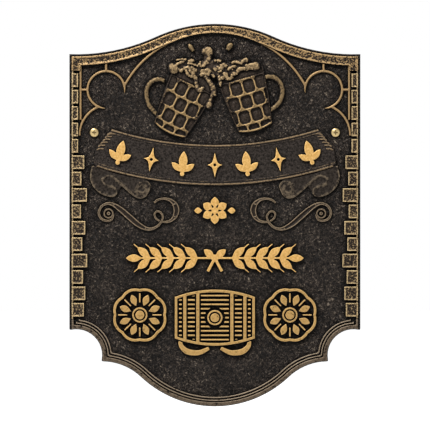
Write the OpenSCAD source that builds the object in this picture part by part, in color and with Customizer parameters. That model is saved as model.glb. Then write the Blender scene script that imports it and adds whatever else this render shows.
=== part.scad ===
// Welcome plaque: a cast plate with raised ornament, held to a wall by two screws in wall plugs.
// The front faces -Y and +Z is up. The wall is the plane y = 0.
// The origin is on the wall, midway between the two screws.
// Outlines are drawn in the X-Z plane and raised towards the front.

/* [Plate outline] */
// Width across the straight sides
plate_w = 291; // [285:1:300]
// Height of the top of the crown above the screws
crown_top = 108.8; // [107:0.2:111]
// Radius of the crown
crown_r = 140.5; // [138:0.5:143]
// Distance of the hollow sweep's centre from the middle
sweep_x = 138.8; // [137:0.2:140]
// Radius of the hollow sweep beside the crown
sweep_r = 191.5; // [188:0.5:195]
// Distance of the lower corner scoop's centre from the middle
scoop_x = 138.7; // [137:0.1:140]
// Depth of the scoop's centre below the screws
scoop_drop = 222.6; // [221:0.2:224]
// Radius of the lower corner scoop
scoop_r = 25.9; // [25:0.1:27]
// Distance of the ogee's centre from the middle
ogee_x = 113; // [111:0.5:115]
// Radius of the hollow part of the ogee
ogee_r = 56.8; // [55:0.2:58]
// Radius of the rounded foot
belly_r = 107.5; // [106:0.5:109]
// Depth of the lowest point below the screws
foot_drop = 273.9; // [273:0.1:275]
// Length rounded off each side of the sharp lower corners
corner_t = 1.5; // [0.5:0.1:2]

/* [Plate section] */
// Distance of the pebbled ground from the wall
ground_d = 6; // [5:0.25:8]
// Depth of the hollow back
recess_d = 2.5; // [1:0.25:3]
// Width of the rim that touches the wall
rim_w = 6; // [4:0.5:9]
// Radius of the boss behind each screw
boss_r = 9; // [7:0.5:11]

/* [Screws and plugs] */
// Distance of each screw's centre from the side of the plate
screw_inset = 24.85; // [22.5:0.05:27.5]
// Radius of the hole for each screw
hole_r = 2.7; // [2.6:0.05:3.2]
// Outer radius of the screw's thread
thread_r = 2.35; // [2:0.05:2.5]
// Radius of the screw's head
head_r = 4.5; // [4:0.1:5.2]
// Height of the screw's head
head_h = 2.6; // [2.2:0.1:3.2]
// Length of the screw behind its head
shank_l = 38; // [32:1:45]
// Length of the screw's point
point_l = 6; // [4:0.5:8]
// Width of each arm of the cross recess
slot_w = 1.1; // [0.8:0.1:1.4]
// Depth of the cross recess
slot_d = 1.4; // [1:0.1:1.8]
// Outer radius of the wall plug
plug_r = 3.5; // [3.2:0.1:4.2]
// Length of the wall plug
plug_l = 36; // [30:1:42]
// Clearance between the thread and the plug's bore
plug_gap = 0.06; // [0.02:0.01:0.1]
// Width of the slit in the plug's far end
slit_w = 1; // [0.6:0.1:1.4]

/* [Top band] */
// Width of the bare margin outside the border
margin = 2.5; // [2:0.1:3.5]
// Width of the top band
band_w = 8.7; // [8.2:0.1:9.2]
// Height of the band's edge lines above the ground
band_h = 2.8; // [2:0.1:3.5]
// Width of the band's edge lines
band_line = 1.6; // [1:0.1:2.2]
// Depth of the band's rough face below its edge lines
band_sink = 0.5; // [0.2:0.1:1]
// Distance from each corner ring's centre to the great arch beside it
arch_gap = 16.2; // [15:0.1:17.4]
// Height of the arch's centre line above the screws
arch_top = 100.8; // [100.2:0.1:101.6]

/* [Border blocks] */
// Height of the top of the first block above the screws
block_top = 58.9; // [57:0.1:60]
// Distance from one block to the next
block_pitch = 16.38; // [16:0.01:16.8]
// Gap between two blocks
block_gap = 2.9; // [2:0.1:4]
// Height of the blocks above the ground
block_h = 2.4; // [1.8:0.1:3]
// Width of the raised rim round each block
block_rim = 1.4; // [0.8:0.1:2]
// Depth of each block's rough panel
block_sink = 0.4; // [0.2:0.1:0.8]
// Width of the narrow blocks beside the tracery
column_w = 6.4; // [5.5:0.1:6.8]

/* [Tracery] */
// Width of the tracery lines
line_w = 2.3; // [1.6:0.1:3]
// Height of the tracery above the ground
line_h = 1.9; // [1.2:0.1:2.4]
// Radius of the open ring in each upper corner
ring_r = 18.6; // [17.5:0.1:19.5]
// Distance of the ring's centre from the plate's side
ring_in = 36.8; // [36:0.1:38]
// Height of the ring's centre above the screws
ring_z = 42.8; // [42:0.1:44]
// Radius of the small arch under the ring
foot_arch_r = 31.4; // [30.5:0.1:32]

/* [Bottom moulding] */
// Inset of the outer bead
bead_in = 0.8; // [0.5:0.1:1.2]
// Width of the outer bead
bead_w = 3.5; // [3:0.1:4]
// Height of the outer bead above the ground
bead_h = 2.4; // [1.6:0.1:3]
// Distance from one line of the moulding to the next
thread_step = 2.9; // [2.6:0.1:3.2]
// Width of the two fine lines
fine_w = 1.3; // [0.8:0.1:1.6]
// Height of the two fine lines above the ground
fine_h = 1.5; // [1:0.1:2]

/* [Ribbon] */
// Radius of the ribbon's upper edge
ribbon_r = 345; // [335:0.5:355]
// Width of the ribbon from edge to edge
ribbon_w = 41; // [39:0.5:42]
// Distance of the ribbon's upper corners from the plate's sides
ribbon_in = 42.5; // [40:0.5:46]
// How much further the ribbon's lower edge reaches
ribbon_lean = 14.8; // [13:0.2:16]
// Depth of the ribbon's upper edge below the screws, at the middle
ribbon_drop = 12; // [11.5:0.1:13]
// Height of the ribbon's face above the ground
ribbon_h = 0.9; // [0.6:0.1:1.4]
// Height of the ribbon's edge lines above the ground
edge_h = 1.6; // [1.2:0.1:2.2]
// Width of the ribbon's edge lines
edge_w = 1.3; // [1:0.1:1.8]
// Number of ornaments on the ribbon
motif_n = 7; // [5:2:7]
// Height of the ornaments above the ribbon's face
motif_h = 1.7; // [1:0.1:2.2]
// Length of each ornament
motif_l = 25; // [22:0.5:27]

/* [Scrolls] */
// Height of the scrolls above the ground
scroll_h = 1.5; // [1:0.1:2]
// Depth of the groove in the wide parts of the scrolls
groove_d = 0.6; // [0.3:0.1:0.9]

/* [Mugs] */
// Height of the mugs above the ground
mug_h = 3.7; // [3:0.1:4]
// Half of each mug's width at its base
mug_base = 17.4; // [16.5:0.1:18.2]
// Half of each mug's width at its mouth
mug_mouth = 24; // [22.5:0.1:24.5]
// Length of each mug from base to mouth
mug_l = 64; // [62:0.5:66]
// Distance between the dimples across a mug
dimple_step = 12.6; // [12:0.1:13.2]
// Distance between the rows of dimples
dimple_row = 14.6; // [14:0.1:15]
// Width of the ridges between the dimples
ridge_w = 2; // [1.6:0.1:2.8]
// Height of the dimples' floors above the ground
dimple_floor = 1.3; // [0.8:0.1:1.5]
// Height of the handles above the ground
handle_h = 2.8; // [2:0.1:3.2]
// Height of the lumps of foam above the ground
foam_h = 4.3; // [4.1:0.1:5]
// Height of the heap of foam that carries the lumps
heap_h = 3.6; // [3:0.1:4]

/* [Lower ornaments] */
// Height of the flat ornaments above the ground
ornament_h = 2.4; // [1.6:0.1:3]
// Depth of the ears of barley below the screws
barley_drop = 125.5; // [124:0.5:127]
// Half length of the pair of ears
barley_half = 89; // [84:0.5:92]
// Number of grain pairs on each ear
grain_n = 5; // [4:1:5]
// Depth of the cask's middle below the screws
cask_drop = 185; // [184:0.5:187]
// Length of the cask
cask_l = 80; // [76:0.5:84]
// Width of the cask across its middle
cask_w = 56; // [52:0.5:58]
// Radius of each medallion
medal_r = 27.5; // [25:0.5:29]
// Distance of each medallion's centre from the middle
medal_x = 75; // [74:0.5:77]
// Depth of each medallion's centre below the screws
medal_drop = 182.3; // [181:0.5:184]

/* [Hidden] */
$fn = 48;

dark = "#2f2b28";
gold = "#a88552";
bright = "#e2b064";
brass = "#cdb47c";

half_w = plate_w / 2;
screw_x = half_w - screw_inset;
crown_c = [0, crown_top - crown_r];
sweep_c = [sweep_x, crown_c[1] + sqrt(pow(crown_r + sweep_r, 2) - pow(sweep_x, 2))];
scoop_c = [scoop_x, -scoop_drop];
belly_c = [0, belly_r - foot_drop];
ogee_c = [ogee_x, belly_c[1] - sqrt(pow(belly_r + ogee_r, 2) - pow(ogee_x, 2))];
// The great arch runs from beside one corner ring over the middle to the other
arch_reach = half_w - ring_in - arch_gap;
arch_rise = arch_top - ring_z;
arch_r = (pow(arch_reach, 2) + pow(arch_rise, 2)) / (2 * arch_rise);
arch_c = [0, arch_top - arch_r];
// Room needed past any outline by a cutting shape
past = 400;

// Geometry helpers

function polar(r, a) = [r * cos(a), r * sin(a)];
function arc(c, r, from, to, n) = [for (i = [0:n]) c + polar(r, from + (to - from) * i / n)];
function heading(a, b) = atan2(b[1] - a[1], b[0] - a[0]);
function backwards(p) = [for (i = [len(p) - 1:-1:0]) p[i]];
function mirrored(p) = [for (q = backwards(p)) [-q[0], q[1]]];
function degrees(x) = x * 180 / PI;
// Middle point of a rounded corner between two points of its sides
function rounded(a, corner, b) = corner + 0.59 * ((a + b) / 2 - corner);

// The left-hand crossing of two circles, going from the first centre to the second
function crossing(c1, r1, c2, r2) =
  let (d = norm(c2 - c1), along = (r1 * r1 - r2 * r2 + d * d) / (2 * d), u = (c2 - c1) / d)
  c1 + along * u + sqrt(r1 * r1 - along * along) * [-u[1], u[0]];

// A filled outline, without points that lie on top of the next one
module shape(p) polygon([for (i = [0:len(p) - 1]) if (norm(p[i] - p[(i + 1) % len(p)]) > 0.01) p[i]]);

// A smooth curve through points that may carry a half width as their third value
function curve(p, n = 5) = [
  for (i = [0:len(p) - 2], k = [0:n - 1])
    let (a = p[max(i - 1, 0)], b = p[i], c = p[i + 1], d = p[min(i + 2, len(p) - 1)], t = k / n)
    (2 * b + (c - a) * t + (2 * a - 5 * b + 4 * c - d) * t * t + (3 * b - a - 3 * c + d) * t * t * t) / 2,
  p[len(p) - 1]
];

function flank(p, side, less) = [
  for (i = [0:len(p) - 1])
    let (t = p[min(i + 1, len(p) - 1)] - p[max(i - 1, 0)], n = [-t[1], t[0]] / norm([t[0], t[1]]))
    [p[i][0], p[i][1]] + side * (p[i][2] - less) * n
];

// A drawn stroke whose half width is each point's third value, less a margin
module stroke(p, less = 0) shape(concat(flank(p, 1, less), backwards(flank(p, -1, less))));

module ring(at, r, w) translate(at) difference() {
  circle(r = r);
  circle(r = r - w);
}

// A line of one width along an arc
module arc_line(c, r, from, to, w, n) shape(concat(
  arc(c, r + w / 2, from, to, n),
  arc(c, r - w / 2, to, from, n)
));

// Right half of the plate's outline from the foot to the crown, drawn in by d
function half_outline(d) =
  let (
    side = half_w - d,
    bend = heading(belly_c, ogee_c),
    cusp = crossing(ogee_c, ogee_r + d, scoop_c, scoop_r + d),
    low = [side, scoop_c[1] + sqrt(pow(scoop_r + d, 2) - pow(side - scoop_x, 2))],
    high = [side, sweep_c[1] - sqrt(pow(sweep_r + d, 2) - pow(side - sweep_x, 2))],
    rise = heading(crown_c, sweep_c),
    scoop_back = degrees(corner_t / (scoop_r + d)),
    scoop_from = (heading(scoop_c, cusp) + 360) % 360 - scoop_back,
    scoop = arc(scoop_c, scoop_r + d, scoop_from, heading(scoop_c, low) + scoop_back, 12),
    ogee_to = heading(ogee_c, cusp) + degrees(corner_t / (ogee_r + d)),
    ogee = arc(ogee_c, ogee_r + d, bend + 180, ogee_to, 9),
    side_foot = [side, low[1] + corner_t]
  )
  concat(
    arc(belly_c, belly_r - d, -90, bend, 14),
    ogee,
    [rounded(ogee[9], cusp, scoop[0])],
    scoop,
    [rounded(scoop[12], low, side_foot), side_foot],
    arc(sweep_c, sweep_r + d, heading(sweep_c, high), rise - 180, 10),
    arc(crown_c, crown_r - d, rise, 90, 8)
  );

module outline(d) {
  right = half_outline(d);
  shape(concat([for (i = [1:len(right) - 2]) right[i]], mirrored(right)));
}

// A band of the outline between two insets
module edge_band(from, to) difference() {
  outline(from);
  outline(to);
}

// Stands a flat outline on the ground or at a height above it, towards the front
module raise(h, above = 0) translate([0, -ground_d - above, 0]) rotate([90, 0, 0]) linear_extrude(h) children();

module right_side() mirror([1, 0, 0]) children();

module half_plane_above(z) translate([-past, z]) square([2 * past, past]);

// Everything below z and inside an inset from the two straight sides
module below(z, inset) translate([inset - half_w, z - past]) square([plate_w - 2 * inset, past]);

// Plate

module plate() color(dark) difference() {
  rotate([90, 0, 0]) linear_extrude(ground_d) outline(0);
  difference() {
    translate([0, recess_d, 0]) rotate([90, 0, 0]) linear_extrude(2 * recess_d) outline(rim_w);
    for (s = [-1, 1]) translate([s * screw_x, 0, 0]) rotate([90, 0, 0])
      cylinder(r = boss_r, h = 4 * recess_d, center = true);
  }
  for (s = [-1, 1]) translate([s * screw_x, 0, 0]) rotate([90, 0, 0])
    cylinder(r = hole_r, h = 4 * ground_d, center = true);
}

// Border: top band, tracery, blocks and bottom moulding

band_in = margin + band_w;
band_foot = block_top + block_gap;

module field_opening(d) {
  outline(band_in - d);
  translate(arch_c) circle(r = arch_r - line_w / 2 + d, $fn = 180);
}

module band_area(trim) intersection() {
  difference() {
    outline(margin + trim);
    field_opening(trim);
  }
  half_plane_above(band_foot);
}

module top_band() color(gold) {
  raise(band_h - band_sink) band_area(0);
  raise(band_sink, band_h - band_sink) difference() {
    band_area(0);
    band_area(band_line);
  }
}

ring_c = [ring_in - half_w, ring_z];
ring_top_cusp = crossing(ring_c, ring_r, arch_c, arch_r);
foot_arch_c = [margin + column_w + line_w / 2 + foot_arch_r - half_w, -3];
ring_low_cusp = crossing(foot_arch_c, foot_arch_r, ring_c, ring_r);
ring_open = heading(ring_c, ring_top_cusp);
ring_shut = heading(ring_c, ring_low_cusp) + 360;
// Inset of the straight line beside the blocks
fillet_in = margin + column_w + line_w;
// Heading at which the arch is wholly inside the band
arch_end_a = 112;
// How far the ring's tapered tips run past the points where the arches leave it
tip_a = 22;

function tip(from, to) = [
  for (i = [0:4]) let (q = ring_c + polar(ring_r, from + (to - from) * i / 4))
    [q[0], q[1], line_w / 2 * (1 - i / 5)]
];

module tracery_lines() {
  intersection() {
    union() {
      arc_line(ring_c, ring_r, ring_open, ring_shut, line_w, 30);
      stroke(tip(ring_open, ring_open - tip_a));
      stroke(tip(ring_shut, ring_shut + tip_a));
      arc_line(arch_c, arch_r, heading(arch_c, ring_top_cusp), arch_end_a, line_w, 14);
      translate([ring_c[0] - line_w / 2, ring_z + ring_r]) square([line_w, past]);
    }
    outline(band_in);
  }
  arc_line(foot_arch_c, foot_arch_r, heading(foot_arch_c, ring_low_cusp), 180, line_w, 10);
  translate([fillet_in - half_w, ring_z - line_w / 2]) square([ring_in - ring_r - fillet_in, line_w]);
  translate([fillet_in - half_w - line_w / 2, foot_arch_c[1] + foot_arch_r / 2]) square([line_w, past]);
}

module tracery() color(gold) raise(line_h) difference() {
  intersection() {
    tracery_lines();
    outline(margin);
  }
  band_area(0);
  for (k = [0:4]) block_area(k, 0);
}

block_widths = [
  column_w, column_w, column_w, column_w, column_w, 12.4, 9.6, 15.2, 9.2, 13.6, 10.6, 15.4, 11.2, 13.6, 12.1
];
upper_blocks = 4;
block_l = block_pitch - block_gap;
// Width of the strip that ties the blocks together along their outer ends
strip_w = 1.4;

function block_start(k) = block_top - k * block_pitch;

module block_area(k, trim) translate([margin - half_w + trim, block_start(k) - block_l + trim])
  square([block_widths[k] - 2 * trim, block_l - 2 * trim]);

module blocks(from, to, above) color(gold) {
  raise(block_h - block_sink) {
    for (k = [from:to]) block_area(k, 0);
    translate([margin - half_w, block_start(to + 1)]) square([strip_w, (to + 1 - from) * block_pitch + above]);
  }
  for (k = [from:to]) raise(block_sink, block_h - block_sink) difference() {
    block_area(k, 0);
    block_area(k, block_rim);
  }
}

block_foot = block_start(len(block_widths));

module bottom_moulding() color(gold) {
  raise(bead_h) intersection() {
    edge_band(bead_in, bead_in + bead_w);
    below(block_foot, margin);
  }
  for (k = [1:2]) raise(fine_h) intersection() {
    inset = bead_in + bead_w / 2 + k * thread_step;
    edge_band(inset, inset + fine_w);
    below(block_foot, inset + fine_w);
  }
}

// Ribbon

ribbon_c = [0, ribbon_r - ribbon_drop];
ribbon_low = ribbon_r + ribbon_w;
ribbon_mid = ribbon_r + ribbon_w / 2;
// Upper left corner of the ribbon
ribbon_reach = half_w - ribbon_in;
ribbon_end = [-ribbon_reach, ribbon_c[1] - sqrt(pow(ribbon_r, 2) - pow(ribbon_reach, 2))];
// Half of the turn that each of the ribbon's edges takes
ribbon_top_half = asin(ribbon_reach / ribbon_r);
ribbon_low_half = asin((ribbon_reach + ribbon_lean) / ribbon_low);
// Turn from one ornament to the next
motif_a = 35 / motif_n;

// Left end of the ribbon, from the end of the upper edge to the end of the lower edge.
// These points, the folds and the tail are all measured from the ribbon's upper left corner.
shoulder = [[0, -0.7], [-5, -5.3], [-10.2, -12.1], [-14.9, -17.7], [-17, -24.1], [-18.2, -35.5]];

function ribbon_arc(r, half, n) = arc(ribbon_c, r, -90 - half, -90 + half, n);

left_end = [for (p = curve(shoulder)) p + ribbon_end];

module ribbon_area() shape(concat(
  ribbon_arc(ribbon_low, ribbon_low_half, 24),
  mirrored(left_end),
  backwards(ribbon_arc(ribbon_r, ribbon_top_half, 24)),
  left_end
));

// Short folds across the ribbon's shoulder, each running in from the left edge
folds = [[-4.5, -6.3], [-6.7, -9], [-8.6, -11.7], [-11.2, -14.7], [-13.4, -17.7], [-15, -21.2]];

module fold_lines() translate(ribbon_end) for (f = folds) stroke(curve([
  [f[0], f[1], 0.5], [f[0] + 2.6, f[1] + 1.3, 0.6], [f[0] + 7, f[1] + 1.2, 0.3]
]));

module ribbon_banner() color(dark) {
  raise(ribbon_h) ribbon_area();
  raise(edge_h - ribbon_h, ribbon_h) {
    arc_line(ribbon_c, ribbon_r + edge_w, -90 - ribbon_top_half, -90 + ribbon_top_half, edge_w, 24);
    arc_line(ribbon_c, ribbon_low - edge_w, -90 - ribbon_low_half, -90 + ribbon_low_half, edge_w, 24);
    fold_lines();
    mirror([1, 0]) fold_lines();
  }
}

// Edge of the tail from the ribbon's left end round the back of the fold
fold_edge = [
  [-19, -37.2], [-20.8, -44.7], [-20.6, -51.2], [-17.6, -57.9], [-11.3, -63.9], [-4, -66.9],
  [1.8, -67.3]
];
// Front edge of the tail, from inside the fold to the rolled end
tail_edge = [
  [1.8, -67.3, 0.7], [4.6, -64.5, 0.8], [3.6, -59.7, 0.8], [-2.4, -57.1, 0.8], [-7.6, -54.9, 0.8],
  [-9.3, -50.7, 0.8], [-5.6, -47.3, 0.9], [0, -47.3, 0.9], [6, -52.3, 1], [12, -57.7, 1],
  [18, -63.1, 1], [23.7, -67.4, 1], [29.4, -68.9, 0.9], [33.8, -66.7, 0.9], [36.4, -62.3, 0.8],
  [38.2, -57.3, 0.7], [36.2, -53.6, 0.7], [31.4, -52.7, 0.7], [27, -54.3, 0.7]
];
// Points under the ribbon that close the filled parts of the tail
fold_fill = [[5.5, -64.5], [7.6, -60.7], [11, -56.7], [17, -49.7], [-18, -36.7]];
roll_fill = [[35, -50.7], [17, -47.7], [-9, -41.7]];
// Rolled end of the tail
roll_at = [29.6, -60.3];
roll_r = 4.2;
tail_line = 1.2;

function with_width(p, w) = [for (q = p) [q[0], q[1], w]];

module tail_lines() translate(ribbon_end) {
  stroke(with_width(curve(fold_edge), 0.8));
  stroke(curve(tail_edge, 4));
  ring(roll_at, roll_r, tail_line);
}

module tail_area() {
  translate(ribbon_end) {
    shape(concat(curve(fold_edge), fold_fill));
    shape(concat(curve([for (i = [9:16]) [tail_edge[i][0], tail_edge[i][1]]], 4), roll_fill));
  }
  tail_lines();
}

module ribbon_tail() color(dark) {
  raise(ribbon_h) difference() {
    tail_area();
    ribbon_area();
  }
  raise(edge_h - ribbon_h, ribbon_h) difference() {
    tail_lines();
    ribbon_area();
  }
}

// Ornaments on the ribbon, bright and flat

// One hollow side of a star, between a tip of reach a and the next one of reach b
function star_side(i, a, b, waist) = curve([
  polar(a, 90 * i), polar(waist, 90 * i + 45), polar(b, 90 * i + 90)
], 4);

module four_point_star(l, w) shape(concat(
  star_side(0, w / 2, l / 2, w / 4),
  star_side(1, l / 2, w / 2, w / 4),
  star_side(2, w / 2, l / 2, w / 4),
  star_side(3, l / 2, w / 2, w / 4)
));

// A pointed leaf standing on the origin
module petal(l, w) shape(concat(
  curve([[0, 0], [w / 2, l * 0.45], [w * 0.36, l * 0.78], [0, l]], 4),
  curve([[0, l], [-w * 0.36, l * 0.78], [-w / 2, l * 0.45], [0, 0]], 4)
));

module star_motif() difference() {
  four_point_star(motif_l, motif_l * 0.62);
  circle(r = motif_l * 0.06);
}

// A tall bud between two leaves, over a small ball
module bud_motif() translate([0, -motif_l * 0.34]) {
  petal(motif_l * 0.84, motif_l * 0.34);
  for (s = [-1, 1]) rotate(s * 52) petal(motif_l * 0.58, motif_l * 0.24);
  translate([0, -motif_l * 0.07]) circle(r = motif_l * 0.09);
}

module ribbon_ornaments() color(bright) raise(motif_h, ribbon_h) for (i = [0:motif_n - 1]) {
  a = (i - (motif_n - 1) / 2) * motif_a;
  translate(ribbon_c + polar(ribbon_mid, a - 90)) rotate(a) {
    if (i % 2 == 0) bud_motif();
    if (i % 2 == 1) star_motif();
  }
}

// Scrolls beside the middle ornament, measured from the plate's left side

flourish_at = [39.2, -80.9];
swash = [
  [44.2, -81.9, 0.8], [42.6, -86.7, 0.9], [38, -88.3, 1], [32.1, -86.2, 1.1], [29.5, -80.2, 1.1],
  [32.4, -73.7, 1.1], [38.6, -70.9, 1.3], [45.1, -72.6, 1.9], [52.6, -77.9, 2.6], [61.1, -85.4, 2.8],
  [68.6, -91.7, 2.6], [75.6, -95.6, 1.9], [82.1, -96.3, 1.3], [88.1, -93.6, 1.1], [92.4, -88.8, 1]
];
small_loop = [
  [91.9, -88.9, 0.8], [93.6, -84.4, 0.9], [91.4, -80, 0.9], [87.9, -78.7, 0.9], [85.2, -81.3, 0.9],
  [86.4, -85.7, 0.9], [90.1, -88.4, 0.8]
];
hook = [
  [91.1, -88.7, 0.8], [96.1, -89.4, 1.1], [101.4, -88, 1.4], [105.6, -83.7, 2.2], [107.2, -77.7, 2.8],
  [105.6, -72, 2.5], [101.2, -67.7, 1.6], [95.1, -66.1, 1.1], [89.1, -67.1, 1], [84.8, -70, 0.9]
];
// Edge left standing beside the groove
groove_edge = 0.9;

// Curl at each scroll's outer end: a ring and the dot inside it
curl_r = 5;
curl_w = 1.3;
curl_dot_r = 1.7;

module flourish() color(gold) translate([-half_w, 0, 0]) difference() {
  raise(scroll_h) {
    ring(flourish_at, curl_r, curl_w);
    translate(flourish_at) circle(r = curl_dot_r);
    stroke(curve(swash));
    stroke(curve(small_loop));
    stroke(curve(hook));
  }
  raise(groove_d + 1, scroll_h - groove_d) {
    stroke(curve([for (i = [7:11]) swash[i]]), groove_edge);
    stroke(curve([for (i = [3:5]) hook[i]]), groove_edge);
  }
}

// Mugs and foam

left_mug_at = [-45.1, 2.4];
left_mug_lean = -26;
right_mug_at = [40.7, 4.9];
right_mug_lean = 16;
// Sag of the base and swell of the sides
base_sag = 3;
mug_swell = 1.2;
// Share of a mug's outline that the dimples keep to
dimple_share = 0.94;

function mug_half(v) = mug_base + (mug_mouth - mug_base) * v / mug_l + mug_swell * sin(180 * v / mug_l);

module mug_outline() shape(concat(
  [for (i = [-6:6]) [mug_base * i / 6, -base_sag * (1 - i * i / 36)]],
  [for (i = [1:8]) [mug_half(mug_l * i / 8), mug_l * i / 8]],
  [for (i = [8:-1:1]) [-mug_half(mug_l * i / 8), mug_l * i / 8]]
));

// Share of each dimple's half sides that stays straight
dimple_flat = 0.66;
dimple_rows = 4;
// Height of the lowest row's middle above the base, and how far the rows sit left of the mug's middle
dimple_low = -2;
dimple_shift = 1.3;
// Distance from the mug's middle at which a row has risen by 1
row_bow = 15;

module dimple() {
  w = (dimple_step - ridge_w) / 2;
  h = (dimple_row - ridge_w) / 2;
  f = dimple_flat;
  shape([[-w, -h * f], [-w * f, -h], [w * f, -h], [w, -h * f], [w, h * f], [w * f, h], [-w * f, h], [-w, h * f]]);
}

// Rows of dimples, each row set half a step from the next and rising towards the sides
module dimples() for (row = [0:dimple_rows - 1], j = [-2:2]) {
  u = (j + (row % 2 == 0 ? 0 : 0.5)) * dimple_step - dimple_shift;
  if (abs(u) < mug_mouth) translate([u, dimple_low + row * dimple_row + pow(u / row_bow, 2)]) dimple();
}

// Plain sunk band between the highest row and the foam
module plain_band() translate([-mug_mouth, dimple_low + (dimple_rows - 0.5) * dimple_row + ridge_w])
  square([2 * mug_mouth, mug_l]);

module placed_flat(at, lean) translate(at) rotate(lean) children();

// Lumps of foam as x, z and radius
lumps = [
  [-41, 64.3, 3.5], [-36.9, 67.9, 2.3], [-32.3, 70.5, 2.3], [-23.7, 71.5, 2.6], [-33.9, 62.3, 2.3],
  [-27.8, 64.8, 3.1], [-21.6, 64.8, 3.1], [-24.7, 58.7, 3], [-19.6, 55.7, 2.6], [-10.4, 60.8, 3],
  [-6.3, 61.8, 2.6], [-13.5, 58.7, 2.6], [-17.6, 66.9, 2.3], [-12.5, 67, 2.1], [-8.9, 71.5, 2.2],
  [-7.4, 76.5, 2.4], [-8.4, 81.5, 4], [-4.6, 80.7, 3.1], [4, 72, 2.2], [1.8, 63.3, 2.6], [6.9, 65.4, 3.2],
  [10.6, 66.9, 2.6], [-2.3, 65.7, 2.4], [14, 62.9, 2.3], [17.1, 64.8, 2.3], [20.2, 69.9, 2.2],
  [25.3, 68.9, 2.1], [30.4, 72.3, 2.6], [28.5, 66.4, 2.3], [32.4, 65.4, 2.4], [36.5, 66.4, 2.6],
  [41.6, 66.4, 3.3], [6.9, 54.6, 2.2], [10.5, 58.7, 2.8], [14.7, 54.1, 2.4], [19.2, 57.7, 2.5],
  [23.8, 61.8, 2.6]
];
// Drips that run down from the foam, as strokes ending in drops
drips = [
  [[-18.6, 55, 2.2], [-18.2, 49, 1.6], [-16.2, 43.5, 2.4]],
  [[-9, 60, 2.2], [-5, 51, 1.7], [-1.4, 44.6, 2.5], [-0.4, 39.6, 1.6]],
  [[4.6, 56, 2], [5.6, 50, 1.5], [5.2, 46, 1.4]],
  [[-0.6, 40, 1.6], [-3.6, 33, 1.5], [-5.2, 28.6, 1.8]]
];
drip_ends = [[-15.6, 42.6, 2.7], [-1.1, 43.6, 2.8], [-5.7, 26.8, 2.8]];

// Outline of the heap of foam that carries the lumps
heap = [
  [-44, 64], [-41.5, 67.4], [-33, 72.4], [-23, 73.4], [-18, 69], [-11.4, 72], [-11, 80], [-5, 83], [-2.6, 79],
  [-5.4, 73], [4, 73.6], [9, 69], [18, 71.6], [29, 74.4], [33.6, 69], [42, 69], [44.4, 66], [40, 63.6],
  [28, 61], [20, 55.6], [14, 52], [4, 54], [-4, 57], [-14, 56], [-19, 53.6], [-25, 56], [-31, 60.6],
  [-38.5, 61.4]
];

module foam_area() {
  shape(heap);
  for (l = concat(lumps, drip_ends)) translate([l[0], l[1]]) circle(r = l[2]);
  for (d = drips) stroke(curve(d));
}

// What the foam and its drips hide of each mug
left_mug_hidden = [
  [-60, 66], [-36, 66], [-22, 63], [-9, 62], [-5, 51], [-1.4, 44.6], [-0.4, 39.6], [-3.6, 33], [-5.2, 28.6],
  [30, 28], [30, 90], [-60, 90]
];
right_mug_hidden = [
  [60, 68], [40, 66], [22, 63], [10, 60], [4.6, 57], [5.6, 50], [5.2, 46], [-20, 40], [-20, 90], [60, 90]
];

module mug_area(at, lean, hidden) difference() {
  placed_flat(at, lean) mug_outline();
  foam_area();
  shape(hidden);
}

module mug(at, lean, hidden) color(gold) {
  raise(dimple_floor) mug_area(at, lean, hidden);
  raise(mug_h - dimple_floor, dimple_floor) difference() {
    mug_area(at, lean, hidden);
    placed_flat(at, lean) intersection() {
      union() {
        dimples();
        plain_band();
      }
      translate([0, mug_l * (1 - dimple_share) / 2]) scale(dimple_share) mug_outline();
    }
  }
}

left_handle = [
  [-50, 51.6, 2], [-56.4, 53.4, 2.2], [-62.5, 51.4, 2.2], [-66.9, 46.4, 2.3], [-68.5, 39.6, 2.3],
  [-66.8, 29.6, 2.2], [-62, 22.4, 2.2], [-55, 15.4, 2.1]
];
right_handle = [
  [48, 55, 2.2], [55, 56, 2.3], [61.4, 54, 2.3], [66.2, 48, 2.3], [67.6, 40.6, 2.3], [66, 33, 2.3],
  [61.4, 26.6, 2.3], [54, 22, 2.2]
];

module handle(path, at, lean) color(gold) raise(handle_h) difference() {
  stroke(curve(path));
  placed_flat(at, lean) mug_outline();
  foam_area();
}

// Share of each lump's radius that stands above the heap
lump_share = 0.8;
// Two drops flying off the foam
left_drop = [[-26, 88.4, 0.8], [-24.3, 85.6, 2.2], [-21.4, 81.4, 1.4]];
right_drop = [[17.6, 88.6, 1.4], [14.8, 86.4, 2.6], [12.6, 82.4, 1.6]];

module foam() color(bright) {
  raise(heap_h) foam_area();
  raise(foam_h - heap_h, heap_h) for (l = concat(lumps, drip_ends))
    translate([l[0], l[1]]) circle(r = l[2] * lump_share);
}

module foam_drops() color(bright) raise(heap_h) {
  stroke(curve(left_drop));
  stroke(curve(right_drop));
}

// Middle rosette between the scrolls, between two small leaves

rosette_c = [0, -78];
rosette_petals = 6;
rosette_r = 13.6;
rosette_eye_r = 3.4;
petal_in = 2.6;
petal_w = 8;
// The small leaves on each side
side_leaf_in = 12.6;
side_leaf_l = 8;
side_leaf_w = 6;

module centre_rosette() color(bright) raise(ornament_h) translate(rosette_c) {
  for (i = [0:rosette_petals - 1]) rotate(360 * i / rosette_petals)
    translate([0, petal_in]) petal(rosette_r - petal_in, petal_w);
  circle(r = rosette_eye_r);
  for (s = [-90, 90]) rotate(s) translate([0, side_leaf_in]) petal(side_leaf_l, side_leaf_w);
}

// Two ears of barley lying head out, tied in the middle

grain_l = 17;
grain_w = 7.4;
grain_a = 40;
ear_start = 17;
grain_step = (barley_half - ear_start - grain_l) / (grain_n - 0.35);
stem_w = 1.8;
// Thin beard at the tip of each grain
awn_l = 6;
awn_w = 0.9;

module grain() {
  petal(grain_l, grain_w);
  translate([-awn_w / 2, grain_l - 1]) square([awn_w, awn_l]);
}

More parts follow.
